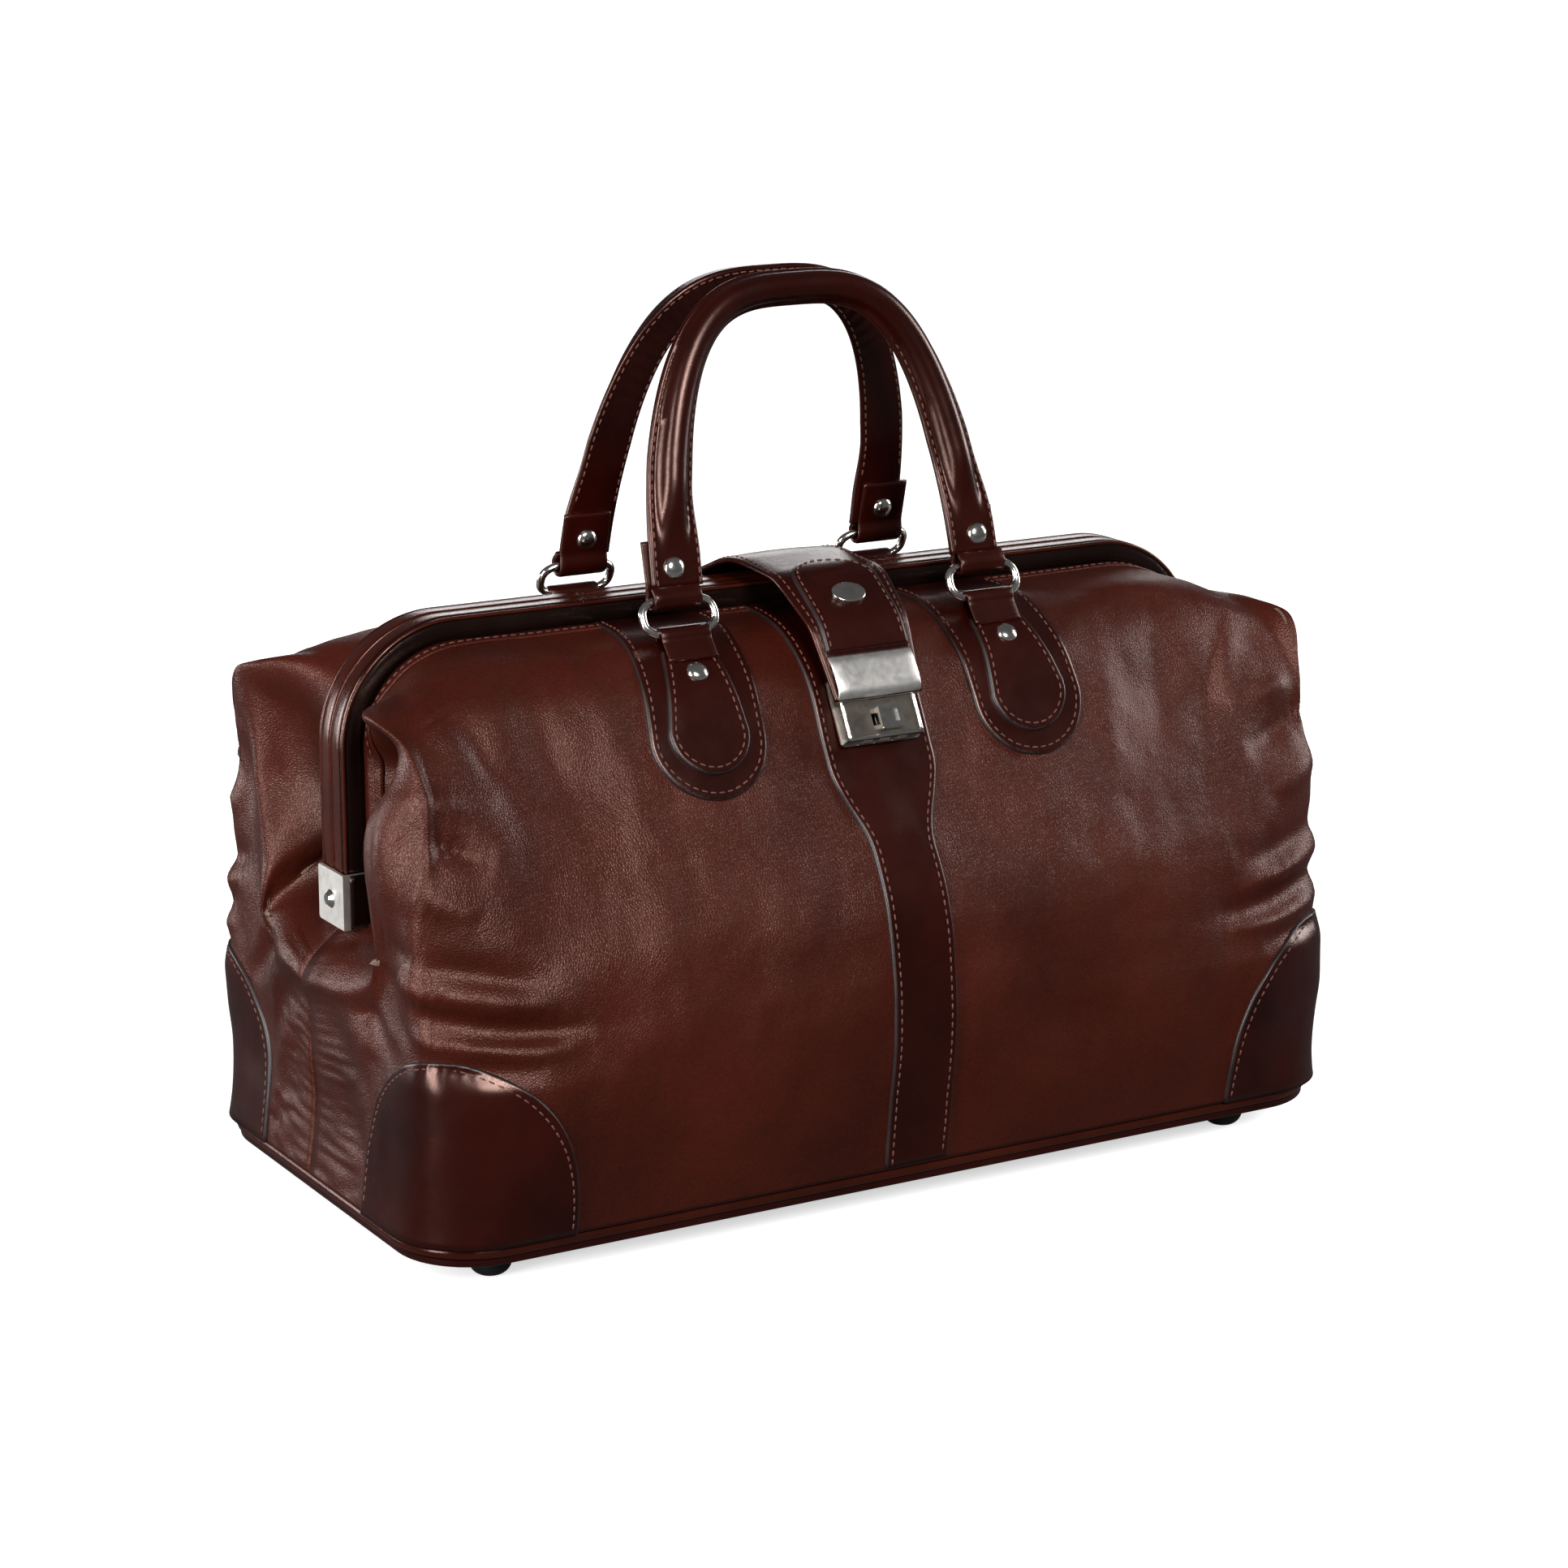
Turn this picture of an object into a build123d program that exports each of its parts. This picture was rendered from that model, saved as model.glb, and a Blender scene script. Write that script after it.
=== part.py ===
"""Doctor bag: a soft leather body on a flat base, closed by a hinged steel frame in two halves.

Millimetres, +Z up. X runs along the bag, -Y is the front, and the origin is on the floor under the
bag's middle. The front half is drawn, and the back half is its mirror image wherever the two match.
"""

from build123d import *
import math
import os

os.makedirs("parts", exist_ok=True)

# Base and lower body
base_length, base_width, base_corner = 480.0, 246.0, 36.0
foot_height, foot_radius = 15.0, 9.6
foot_x, foot_y = 197.0, 88.0
base_panel_thickness = 3.5
piping_radius = 3.0
body_bottom = foot_height + 9.5
rim_length, rim_width, rim_corner, rim_height = 496.0, 270.0, 44.0, 150.0
leather, lining, patch = 2.5, 1.0, 1.5

# Frame: two U-shaped halves that meet at the middle plane and turn on pins at their feet
frame_length, frame_top, frame_corner = 455.0, 276.0, 55.0
frame_section, frame_half = 11.0, 12.5
frame_wrap = 1.2
mid_gap = 0.3
pin_height, pin_radius = 152.6, 2.5
hinge_plate_top, hinge_plate_height, hinge_plate_thickness = 166.0, 25.0, 1.5
running = 0.06

# Upper body, seen from the side (y, z): from the frame over the shoulder and down to the rim
shoulder = [(-12.8, 265.0), (-63.0, 261.5), (-118.0, 162.0), (-130.0, 120.0)]
shoulder_radii = (38.0, 60.0)
ear_length, ear_height, ear_shoulder_length, ear_shoulder_height = 241.0, 237.0, 196.0, 267.5
waist_length, waist_height = 231.0, 142.0

# Upper body, seen from above: the ends run out from the frame to the ears and turn round to the front
end_inset, ear_start_y, ear_turn_y, ear_turn_radius = 6.0, -52.0, -71.0, 60.0

# Rings, tabs and handles
ring_x, ring_lean = 80.0, 26.0
ring_length, ring_pitch, ring_corner, wire_radius = 36.0, 17.0, 5.0, 2.0
lower_bar = (-53.5, 265.8)
strap_end_width, loop_radius, loop_bore = 25.0, 4.2, 2.25
handle_lean, handle_radius, core_radius = 14.0, 8.0, 5.5
handle_shoulder = [(-66.0, 98.0), (-37.0, 133.0)]
handle_bends = (60.0, 44.0, 44.0, 60.0)
tab_splay = 5.0
rivet_head_radius, rivet_crown_radius, rivet_head_height, rivet_shank_radius = 4.6, 2.6, 1.8, 1.6
washer_radius, washer_height = 3.8, 1.2
tab_rivet_y = -68.0

# Closing strap and lock; distances along the lock are measured up the slope from its middle
strap_width, strap_end_taper, strap_thickness = 57.0, 45.0, 2.6
strap_line = [(-89.5, 233.8), (-71.1, 267.1), (-46.0, 284.5), (-2.0, 287.8), (67.4, 259.9), (87.5, 223.5)]
strap_radii = (25.0, 30.0, 60.0, 40.0)
strap_axis_y, flap_root, base_root = 27.0, 23.0, 32.2
lock_width, lock_height, lock_depth, lock_y = 39.0, 30.0, 5.6, -81.7
plate_thickness, cover_wall = 1.0, 1.0
button_width, button_height, button_travel = 12.0, 11.0, 5.0
button_x, button_up, button_rise = 2.5, -6.5, 4.5
button_stem = 4.6
wheel_radius, wheel_width, wheel_pitch, wheel_axle_radius = 2.2, 5.0, 9.0, 0.9
hasp_width, hasp_length, hasp_thickness, hasp_up = 43.0, 18.0, 1.2, 13.5
catch_width, catch_length, catch_depth, catch_up = 8.0, 2.5, 3.0, 4.5

# Round pieces that stand on the plane they are placed on
standing = (Align.CENTER, Align.CENTER, Align.MIN)


def keep(shape, name):
    """Labels one finished piece and writes its STEP file."""
    shape.label = name
    export_step(shape, f"parts/{name}.step")


def mirrored(shape, plane):
    """The same piece on the other side of a plane."""
    with BuildPart() as copy:
        mirror(shape, about=plane)
    return copy.part


def round_loop(plane, length, width, corner, radius):
    """A rounded rectangular loop of round wire, measured to the middle of the wire."""
    with BuildPart() as loop:
        with BuildSketch(plane.offset(-radius)):
            RectangleRounded(length + 2 * radius, width + 2 * radius, corner + radius)
            RectangleRounded(length - 2 * radius, width - 2 * radius, corner - radius, mode=Mode.SUBTRACT)
        extrude(amount=2 * radius)
        fillet(loop.faces().filter_by(Axis(plane.origin, plane.z_dir)).edges(), 0.98 * radius)
    return loop.part


def both_sides(shape):
    """A piece and its mirror image across the middle of the bag's length, as separate solids."""
    with BuildPart() as pair:
        add(shape)
        mirror(shape, about=Plane.YZ)
    return pair.part


with BuildLine(Plane.YZ) as shoulder_line:
    FilletPolyline(*shoulder, radius=shoulder_radii)


def resting_plane(line, x, y, lift):
    """A plane lying on a side-view line at that x and y, facing up and out, raised off it by lift."""
    wire = line.wires()[0]
    at = min((step / 1000 for step in range(1001)), key=lambda t: abs((wire @ t).Y - y))
    point, along = wire @ at, wire % at
    outward = Vector(0, along.Z, -along.Y) if along.Y < 0 else Vector(0, -along.Z, along.Y)
    return Plane(origin=Vector(x, point.Y, point.Z) + lift * outward, x_dir=(1, 0, 0), z_dir=outward)


def on_shoulder(x, y, lift=0.0):
    """A plane on the upper body at that x and y, raised off the leather by lift."""
    return resting_plane(shoulder_line, x, y, lift)


def rivet(place, grip):
    """Domed rivet: its head stands on the place's plane and its shank runs back through the grip."""
    with BuildPart() as made:
        with Locations(place):
            Cone(rivet_head_radius, rivet_crown_radius, rivet_head_height, align=standing)
        with Locations(place.offset(0.2 - grip)):
            Cylinder(rivet_shank_radius, grip, align=standing)
    return made.part


tab_rivets = both_sides(rivet(on_shoulder(-ring_x, tab_rivet_y, 2 * patch), 2 * patch + leather))
keep(tab_rivets, "front_tab_rivets")
keep(mirrored(tab_rivets, Plane.XZ), "back_tab_rivets")


# ---------------------------------------------------------------- soft body


def lower_block(grow):
    """Solid form of the lower body, from the base to the rim, grown outwards by that much."""
    with BuildPart() as block:
        with BuildSketch(Plane.XY.offset(body_bottom)):
            RectangleRounded(base_length + 2 * grow, base_width + 2 * grow, base_corner + grow)
        with BuildSketch(Plane.XY.offset(rim_height)):
            RectangleRounded(rim_length + 2 * grow, rim_width + 2 * grow, rim_corner + grow)
        loft()
    return block.part


def side_face(grow):
    """Side view of the upper body, reaching past the middle plane and below the rim."""
    with BuildSketch(Plane.YZ) as side:
        with BuildLine():
            FilletPolyline(*shoulder, radius=shoulder_radii)
            Polyline(shoulder[-1], (30, 120), (30, 265), shoulder[0])
        make_face()
        if grow:
            offset(amount=grow, kind=Kind.INTERSECTION, mode=Mode.REPLACE)
    return side.sketch


def upper_block(grow):
    """Solid form of the upper body's front half: a side view, a front view and a plan, intersected."""
    with BuildPart() as block:
        extrude(side_face(grow), amount=ear_length + 10, both=True)
        with BuildSketch(Plane.XZ) as front_view:
            with BuildLine():
                half = [
                    (waist_length, 100),
                    (waist_length, waist_height),
                    (ear_length, ear_height),
                    (ear_shoulder_length, ear_shoulder_height),
                ]
                Polyline(*half, *[(-x, z) for x, z in reversed(half)], close=True)
            make_face()
            if grow:
                offset(amount=grow, kind=Kind.INTERSECTION, mode=Mode.REPLACE)
        extrude(front_view.sketch, amount=200, both=True, mode=Mode.INTERSECT)
        with BuildSketch() as plan:
            with BuildLine():
                end_x, front_x = frame_length / 2 - end_inset, ear_length - ear_turn_radius
                front_y = ear_turn_y - ear_turn_radius
                half = [(end_x, 30), (end_x, shoulder[0][0]), (ear_length, ear_start_y)]
                Polyline(*half, (ear_length, ear_turn_y))
                RadiusArc((ear_length, ear_turn_y), (front_x, front_y), ear_turn_radius)
                Line((front_x, front_y), (-front_x, front_y))
                RadiusArc((-front_x, front_y), (-ear_length, ear_turn_y), ear_turn_radius)
                Polyline((-ear_length, ear_turn_y), *[(-x, y) for x, y in reversed(half)], half[0])
            make_face()
            if grow:
                offset(amount=grow, kind=Kind.INTERSECTION, mode=Mode.REPLACE)
        extrude(plan.sketch, amount=400, mode=Mode.INTERSECT)
    return block.part


flange_edge = -frame_half - hinge_plate_thickness - 0.6


def upper_window():
    """The space in which the front half of the upper body moves: before the frame, above the hinge line."""
    with BuildPart() as window:
        with BuildSketch(Plane.YZ):
            Polygon(
                (flange_edge, pin_height - 1),
                (-145, 140.3),
                (-145, 300),
                (shoulder[0][0], 300),
                (shoulder[0][0], hinge_plate_top + 4),
                (flange_edge, hinge_plate_top + 4),
                align=None,
            )
        extrude(amount=300, both=True)
    return window.part


def upper_skin(inside, outside):
    """One layer of the upper body's front half, between two distances from its outer face."""
    with BuildPart() as skin:
        add(upper_block(outside))
        add(upper_block(inside), mode=Mode.SUBTRACT)
        add(upper_window(), mode=Mode.INTERSECT)
    return skin.part


def lower_skin(inside, outside):
    """One layer of the lower body, between two distances from its outer face."""
    with BuildPart() as skin:
        add(lower_block(outside))
        add(lower_block(inside), mode=Mode.SUBTRACT)
    return skin.part


with BuildPart() as front_panel_lower:
    add(lower_skin(-leather, 0))
    with Locations((0, 100 - mid_gap / 2, 90)):
        Box(600, 200, 200, mode=Mode.SUBTRACT)
keep(front_panel_lower.part, "front_panel_lower")
keep(mirrored(front_panel_lower.part, Plane.XZ), "back_panel_lower")

with BuildPart() as lower_lining:
    add(lower_skin(-leather - lining, -leather))
keep(lower_lining.part, "lower_lining")

with BuildPart() as front_panel_upper:
    add(upper_skin(-leather, 0))
    add(tab_rivets, mode=Mode.SUBTRACT)
keep(front_panel_upper.part, "front_panel_upper")
keep(mirrored(front_panel_upper.part, Plane.XZ), "back_panel_upper")

with BuildPart() as front_lining:
    add(upper_skin(-leather - lining, -leather))
keep(front_lining.part, "front_lining")
keep(mirrored(front_lining.part, Plane.XZ), "back_lining")

# ---------------------------------------------------------------- base

panel_top = foot_height + base_panel_thickness
feet_places = [(x, y) for x in (-foot_x, foot_x) for y in (-foot_y, foot_y)]
screw_radius, screw_bottom = 2.0, 7.0
screw_head_radius, screw_crown_radius, screw_head_height = 5.0, 3.5, 1.5
foot_flat_radius, foot_round_height, foot_rounding = 5.0, 7.0, 6.5

with BuildPart() as base_panel:
    with BuildSketch(Plane.XY.offset(foot_height)):
        RectangleRounded(base_length - 2, base_width - 8, base_corner)
        with Locations(*feet_places):
            Circle(screw_radius, mode=Mode.SUBTRACT)
    extrude(amount=base_panel_thickness)
    fillet(base_panel.edges().group_by(Axis.Z)[0].filter_by(lambda e: e.length > 30), 1.5)
keep(base_panel.part, "base_panel")

with BuildPart() as base_board:
    with BuildSketch(Plane.XY.offset(panel_top)):
        RectangleRounded(base_length - 14, base_width - 20, base_corner - 6)
        with Locations(*feet_places):
            Circle(screw_radius, mode=Mode.SUBTRACT)
    extrude(amount=body_bottom - panel_top)
keep(base_board.part, "base_board")

base_piping = round_loop(
    Plane.XY.offset(panel_top + piping_radius), base_length - 4, base_width - 10, base_corner, piping_radius
)
keep(base_piping, "base_piping")

with BuildPart() as foot:
    with BuildSketch(Plane.XZ):
        with BuildLine():
            Line((0, 0), (foot_flat_radius, 0))
            RadiusArc((foot_flat_radius, 0), (foot_radius, foot_round_height), -foot_rounding)
            Polyline((foot_radius, foot_round_height), (foot_radius, foot_height), (0, foot_height), (0, 0))
        make_face()
    revolve(axis=Axis.Z)
    with Locations((0, 0, foot_height)):
        Hole(screw_radius, depth=foot_height - screw_bottom + 1)
with BuildPart() as feet:
    with Locations(*feet_places):
        add(foot.part)
keep(feet.part, "feet")

with BuildPart() as foot_screws:
    with Locations(*[(x, y, screw_bottom) for x, y in feet_places]):
        Cylinder(screw_radius, body_bottom - screw_bottom, align=standing)
    with Locations(*[(x, y, body_bottom) for x, y in feet_places]):
        Cone(screw_head_radius, screw_crown_radius, screw_head_height, align=standing)
keep(foot_screws.part, "foot_screws")

corner_patch_half_width, corner_patch_height, corner_patch_rounding = 54.0, 83.0, 50.0
with BuildPart() as corner_patch:
    corner_point = (-base_length / 2, -base_width / 2, body_bottom)
    with BuildSketch(Plane(origin=corner_point, x_dir=(1, -1, 0), z_dir=(-1, -1, 0))):
        with Locations((0, corner_patch_height / 2 - 0.01)):
            arch = Rectangle(2 * corner_patch_half_width, corner_patch_height)
        fillet(arch.vertices().group_by(Axis.Y)[-1], corner_patch_rounding)
    extrude(amount=90, both=True)
    add(lower_skin(0, patch), mode=Mode.INTERSECT)
corner_patch_right = mirrored(corner_patch.part, Plane.YZ)
keep(corner_patch.part, "corner_patch_front_left")
keep(corner_patch_right, "corner_patch_front_right")
keep(mirrored(corner_patch.part, Plane.XZ), "corner_patch_back_left")
keep(mirrored(corner_patch_right, Plane.XZ), "corner_patch_back_right")

# ---------------------------------------------------------------- centre band

band_wide, band_narrow = 57.0, 33.0
band_wide_bottom, band_narrow_top, band_split = 205.0, 172.0, 147.5

with BuildPart() as front_band_lower:
    with Locations((0, -100, (body_bottom + rim_height) / 2)):
        Box(band_narrow, 100, rim_height - body_bottom)
    add(lower_skin(0, patch), mode=Mode.INTERSECT)
keep(front_band_lower.part, "front_band_lower")
keep(mirrored(front_band_lower.part, Plane.XZ), "back_band_lower")

with BuildPart() as front_band_upper:
    with BuildSketch(Plane.XZ.offset(20)):
        with BuildLine():
            wide, narrow = band_wide / 2, band_narrow / 2
            Polyline(
                (narrow, band_narrow_top), (narrow, band_split), (-narrow, band_split), (-narrow, band_narrow_top)
            )
            Spline(
                (-narrow, band_narrow_top),
                (-wide, band_wide_bottom),
                tangents=((0, 1), (0, 1)),
            )
            Polyline((-wide, band_wide_bottom), (-wide, 300), (wide, 300), (wide, band_wide_bottom))
            Spline(
                (wide, band_wide_bottom),
                (narrow, band_narrow_top),
                tangents=((0, -1), (0, -1)),
            )
        make_face()
    extrude(amount=150)
    add(upper_skin(0, patch), mode=Mode.INTERSECT)
keep(front_band_upper.part, "front_band_upper")
keep(mirrored(front_band_upper.part, Plane.XZ), "back_band_upper")

# ---------------------------------------------------------------- frame halves and hinges

inner_face = frame_length / 2 - frame_section
ear_radius, ear_thickness = 8.5, 2.5
front_ear_x, back_ear_x = inner_face + 1.0, inner_face + 5.0


def frame_bar(inset):
    """The front half's U-shaped bar, drawn that far inside its outer surface."""
    with BuildPart() as bar:
        with BuildSketch(Plane.XZ.offset(mid_gap + inset)):
            with BuildLine():
                half, top, corner = frame_length / 2 - inset, frame_top - inset, frame_corner - inset
                FilletPolyline(
                    (-half, hinge_plate_top), (-half, top), (half, top), (half, hinge_plate_top), radius=corner
                )
                Line((-half, hinge_plate_top), (half, hinge_plate_top))
            make_face()
            with BuildLine():
                depth = frame_section - 2 * inset
                FilletPolyline(
                    (depth - half, hinge_plate_top),
                    (depth - half, top - depth),
                    (half - depth, top - depth),
                    (half - depth, hinge_plate_top),
                    radius=corner - depth,
                )
                Line((depth - half, hinge_plate_top), (half - depth, hinge_plate_top))
            make_face(mode=Mode.SUBTRACT)
        extrude(amount=frame_half - mid_gap - 2 * inset)
    return bar.part


def hinge_ear(ear_x):
    """Flat lug that carries the front half's foot across the middle plane to the pin."""
    with BuildPart() as ear:
        with BuildSketch(Plane.YZ.offset(ear_x)):
            with Locations((0, pin_height)):
                Circle(ear_radius)
            Polygon(
                (-frame_half + 2, hinge_plate_top + 8),
                (-mid_gap - 1.5, hinge_plate_top + 8),
                (-mid_gap - 1.5, pin_height),
                (-8, pin_height),
                align=None,
            )
            with Locations((0, pin_height)):
                Circle(pin_radius + running, mode=Mode.SUBTRACT)
        extrude(amount=ear_thickness)
    return ear.part


def frame_half_pieces(ear_x):
    """Steel core with its hinge ears, and the leather wrapped round it."""
    with BuildPart() as steel:
        add(frame_bar(frame_wrap))
        add(both_sides(hinge_ear(ear_x)))
    with BuildPart() as wrap:
        add(frame_bar(0))
        fillet(wrap.edges().filter_by(lambda e: e.center().Y < mid_gap - frame_half + 0.4), 2.0)
        add(steel.part, mode=Mode.SUBTRACT)
    return steel.part, wrap.part


front_steel, front_wrap = frame_half_pieces(front_ear_x)
keep(front_steel, "front_frame_steel")
keep(front_wrap, "front_frame_wrap")
back_steel, back_wrap = frame_half_pieces(back_ear_x)
keep(mirrored(back_steel, Plane.XZ), "back_frame_steel")
keep(mirrored(back_wrap, Plane.XZ), "back_frame_wrap")

plate_x = frame_length / 2 + 0.3
with BuildPart() as hinge_plate:
    with BuildSketch(Plane.YZ.offset(plate_x)):
        with Locations((0, hinge_plate_top - hinge_plate_height / 2)):
            face = Rectangle(2 * frame_half, hinge_plate_height)
        fillet(face.vertices(), 1.5)
        with Locations((0, pin_height)):
            Circle(pin_radius + running, mode=Mode.SUBTRACT)
    extrude(amount=hinge_plate_thickness)
    with Locations((plate_x + hinge_plate_thickness, -frame_half - hinge_plate_thickness, hinge_plate_top)):
        Box(
            frame_section + hinge_plate_thickness,
            hinge_plate_thickness + 0.2,
            hinge_plate_height,
            align=(Align.MAX, Align.MIN, Align.MAX),
        )
hinge_plate_left = mirrored(hinge_plate.part, Plane.YZ)
keep(hinge_plate_left, "hinge_plate_left")
keep(hinge_plate.part, "hinge_plate_right")

# The end fold: a leather strip that hangs from the hinge pin and turns out to the lower body's end wall
fold_x, fold_thickness, fold_width = inner_face - 3.5, 3.0, 16.0
fold_top, fold_bottom, fold_shelf, fold_reach = 162.0, 118.0, 4.0, 242.2
pin_foot_radius, pin_foot_thickness = 4.5, 1.5
pin_head_radius, pin_head_crown, pin_head_height = 4.2, 2.4, 1.8

pin_start = fold_x - pin_foot_thickness - 0.1
pin_end = plate_x + hinge_plate_thickness + 0.3
with BuildPart() as hinge_pin:
    with Locations(Plane(origin=(pin_start, 0, pin_height), z_dir=(1, 0, 0))):
        Cylinder(pin_radius, pin_end - pin_start, align=standing)
        Cylinder(pin_foot_radius, pin_foot_thickness, align=standing)
    with Locations(Plane(origin=(pin_end - 0.1, 0, pin_height), z_dir=(1, 0, 0))):
        Cone(pin_head_radius, pin_head_crown, pin_head_height, align=standing)
keep(both_sides(hinge_pin.part), "hinge_pins")

with BuildPart() as end_fold:
    with BuildSketch(Plane.XZ):
        Polygon(
            (fold_x, fold_top),
            (fold_x + fold_thickness, fold_top),
            (fold_x + fold_thickness, fold_bottom + fold_shelf),
            (fold_reach, fold_bottom + fold_shelf),
            (fold_reach, fold_bottom),
            (fold_x, fold_bottom),
            align=None,
        )
    extrude(amount=fold_width / 2, both=True)
    with Locations(Plane(origin=(fold_x + 2, 0, pin_height), z_dir=(1, 0, 0))):
        Cylinder(pin_radius + 0.02, 10, mode=Mode.SUBTRACT)
keep(end_fold.part, "end_fold_right")
keep(mirrored(end_fold.part, Plane.YZ), "end_fold_left")

# ---------------------------------------------------------------- tabs, rings and handles


def across_strap_end(bar):
    """A plane square to a ring's bar at the left edge of the leather that loops round it."""
    return Plane(origin=(-ring_x - strap_end_width / 2, *bar), x_dir=(0, 1, 0), z_dir=(1, 0, 0))


tab_view = Plane(origin=(-ring_x, lower_bar[0], lower_bar[1]), x_dir=(1, 0, 0), z_dir=(0, -0.7, 0.7))


def tab_prism(top_width, bottom_width, top, bottom):
    """A tongue shape seen square to the shoulder, from above the ring's bar down to a round end."""
    with BuildPart() as prism:
        with BuildSketch(tab_view):
            with BuildLine():
                r = bottom_width / 2
                Polyline((-r, r - bottom), (-top_width / 2, top), (top_width / 2, top), (r, r - bottom))
                ThreePointArc((r, r - bottom), (0, -bottom), (-r, r - bottom))
            make_face()
        extrude(amount=80, both=True)
    return prism.part.rotate(Axis((-ring_x, *lower_bar), (0, -0.7, 0.7)), -tab_splay)


# Widths at the ring and at the round end, then reach above and below the ring's lower bar
backing_size = (58.0, 60.0, 34.0, 73.0)
tab_size = (strap_end_width, 40.0, 1.0, 62.0)

with BuildPart() as tab_backing:
    add(tab_prism(*backing_size))
    add(upper_skin(0, patch), mode=Mode.INTERSECT)
    add(tab_rivets, mode=Mode.SUBTRACT)
tab_backings = both_sides(tab_backing.part)

with BuildPart() as tab:
    add(tab_prism(*tab_size))
    add(upper_skin(patch, 2 * patch), mode=Mode.INTERSECT)
    with BuildSketch(across_strap_end(lower_bar)):
        Circle(loop_radius)
        with Locations((-4.5, -2.2)):
            Rectangle(9, 2, rotation=12)
        Circle(loop_bore, mode=Mode.SUBTRACT)
    extrude(amount=strap_end_width)
    add(tab_backing.part, mode=Mode.SUBTRACT)
    add(tab_rivets, mode=Mode.SUBTRACT)
tab_right = mirrored(tab.part, Plane.YZ)

keep(tab_backings, "front_tab_backings")
keep(mirrored(tab_backings, Plane.XZ), "back_tab_backings")
keep(tab.part, "front_tab_left")
keep(tab_right, "front_tab_right")
keep(mirrored(tab.part, Plane.XZ), "back_tab_left")
keep(mirrored(tab_right, Plane.XZ), "back_tab_right")

lean = math.radians(ring_lean)
upper_bar = (lower_bar[0] + ring_pitch * math.sin(lean), lower_bar[1] + ring_pitch * math.cos(lean))
ring_plane = Plane(
    origin=(-ring_x, (lower_bar[0] + upper_bar[0]) / 2, (lower_bar[1] + upper_bar[1]) / 2),
    x_dir=(1, 0, 0),
    z_dir=(0, -math.cos(lean), math.sin(lean)),
)
ring = round_loop(ring_plane, ring_length, ring_pitch, ring_corner, wire_radius)
keep(ring, "front_ring_left")
ring_right = mirrored(ring, Plane.YZ)
keep(ring_right, "front_ring_right")
keep(mirrored(ring, Plane.XZ), "back_ring_left")
keep(mirrored(ring_right, Plane.XZ), "back_ring_right")

handle_tilt = math.radians(handle_lean)
handle_plane = Plane(
    origin=(0, *upper_bar),
    x_dir=(1, 0, 0),
    z_dir=(0, -math.cos(handle_tilt), math.sin(handle_tilt)),
)
tube_foot, lug_thickness, lug_height, lug_rivet_rise = 18.0, 5.0, 30.0, 12.5

with BuildLine(handle_plane) as arch_line:
    left_side = [(-ring_x + 2, tube_foot), *handle_shoulder]
    FilletPolyline(*left_side, *[(-x, rise) for x, rise in reversed(left_side)], radius=handle_bends)
arch = arch_line.wires()[0]
arch_start = Plane(origin=arch @ 0, z_dir=arch % 0)


def rolled(radius):
    """Round bar along the handle's arch."""
    with BuildPart() as bar:
        with BuildSketch(arch_start):
            Circle(radius)
        sweep(path=arch)
    return bar.part


handle_core = rolled(core_radius)

with BuildPart() as handle_lug:
    with BuildSketch(across_strap_end(upper_bar)):
        with Locations(Rotation(0, 0, -handle_lean)):
            Circle(loop_radius)
            with Locations((0, lug_height / 2)):
                Rectangle(lug_thickness, lug_height)
        Circle(loop_bore, mode=Mode.SUBTRACT)
    extrude(amount=strap_end_width)

lug_front = handle_plane.offset(lug_thickness / 2)
lug_rivet_place = Plane(
    origin=lug_front.from_local_coords((-ring_x, lug_rivet_rise, 0)), x_dir=(1, 0, 0), z_dir=handle_plane.z_dir
)
with BuildPart() as lug_rivet:
    add(rivet(lug_rivet_place, lug_thickness))
    with Locations(lug_rivet_place.offset(-lug_thickness)):
        Cone(rivet_crown_radius, washer_radius, washer_height, align=(Align.CENTER, Align.CENTER, Align.MAX))
handle_rivets = both_sides(lug_rivet.part)
keep(handle_rivets, "front_handle_rivets")
keep(mirrored(handle_rivets, Plane.XZ), "back_handle_rivets")

with BuildPart() as handle:
    add(rolled(handle_radius))
    add(both_sides(handle_lug.part))
    add(handle_core, mode=Mode.SUBTRACT)
    add(handle_rivets, mode=Mode.SUBTRACT)
keep(handle.part, "front_handle")
keep(mirrored(handle.part, Plane.XZ), "back_handle")
keep(handle_core, "front_handle_core")
keep(mirrored(handle_core, Plane.XZ), "back_handle_core")

# ---------------------------------------------------------------- closing strap


def strap_face(grow):
    """Side view of all that lies under the closing strap's middle line, grown by that much."""
    with BuildSketch(Plane.YZ) as side:
        with BuildLine():
            FilletPolyline(*strap_line, radius=strap_radii)
            Polyline(strap_line[-1], (strap_line[-1][0], 150), (strap_line[0][0], 150), strap_line[0])
        make_face()
        offset(amount=grow, kind=Kind.INTERSECTION, mode=Mode.REPLACE)
    return side.sketch


def strap_layer(inside, outside, y_from, y_to):
    """One leather layer along the strap's line, between two stations in y."""
    with BuildPart() as layer:
        extrude(strap_face(outside), amount=strap_width / 2, both=True)
        extrude(strap_face(inside), amount=strap_width, both=True, mode=Mode.SUBTRACT)
        with Locations((0, (y_from + y_to) / 2, 250)):
            Box(2 * strap_width, y_to - y_from, 110, mode=Mode.INTERSECT)
    return layer.part


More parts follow.
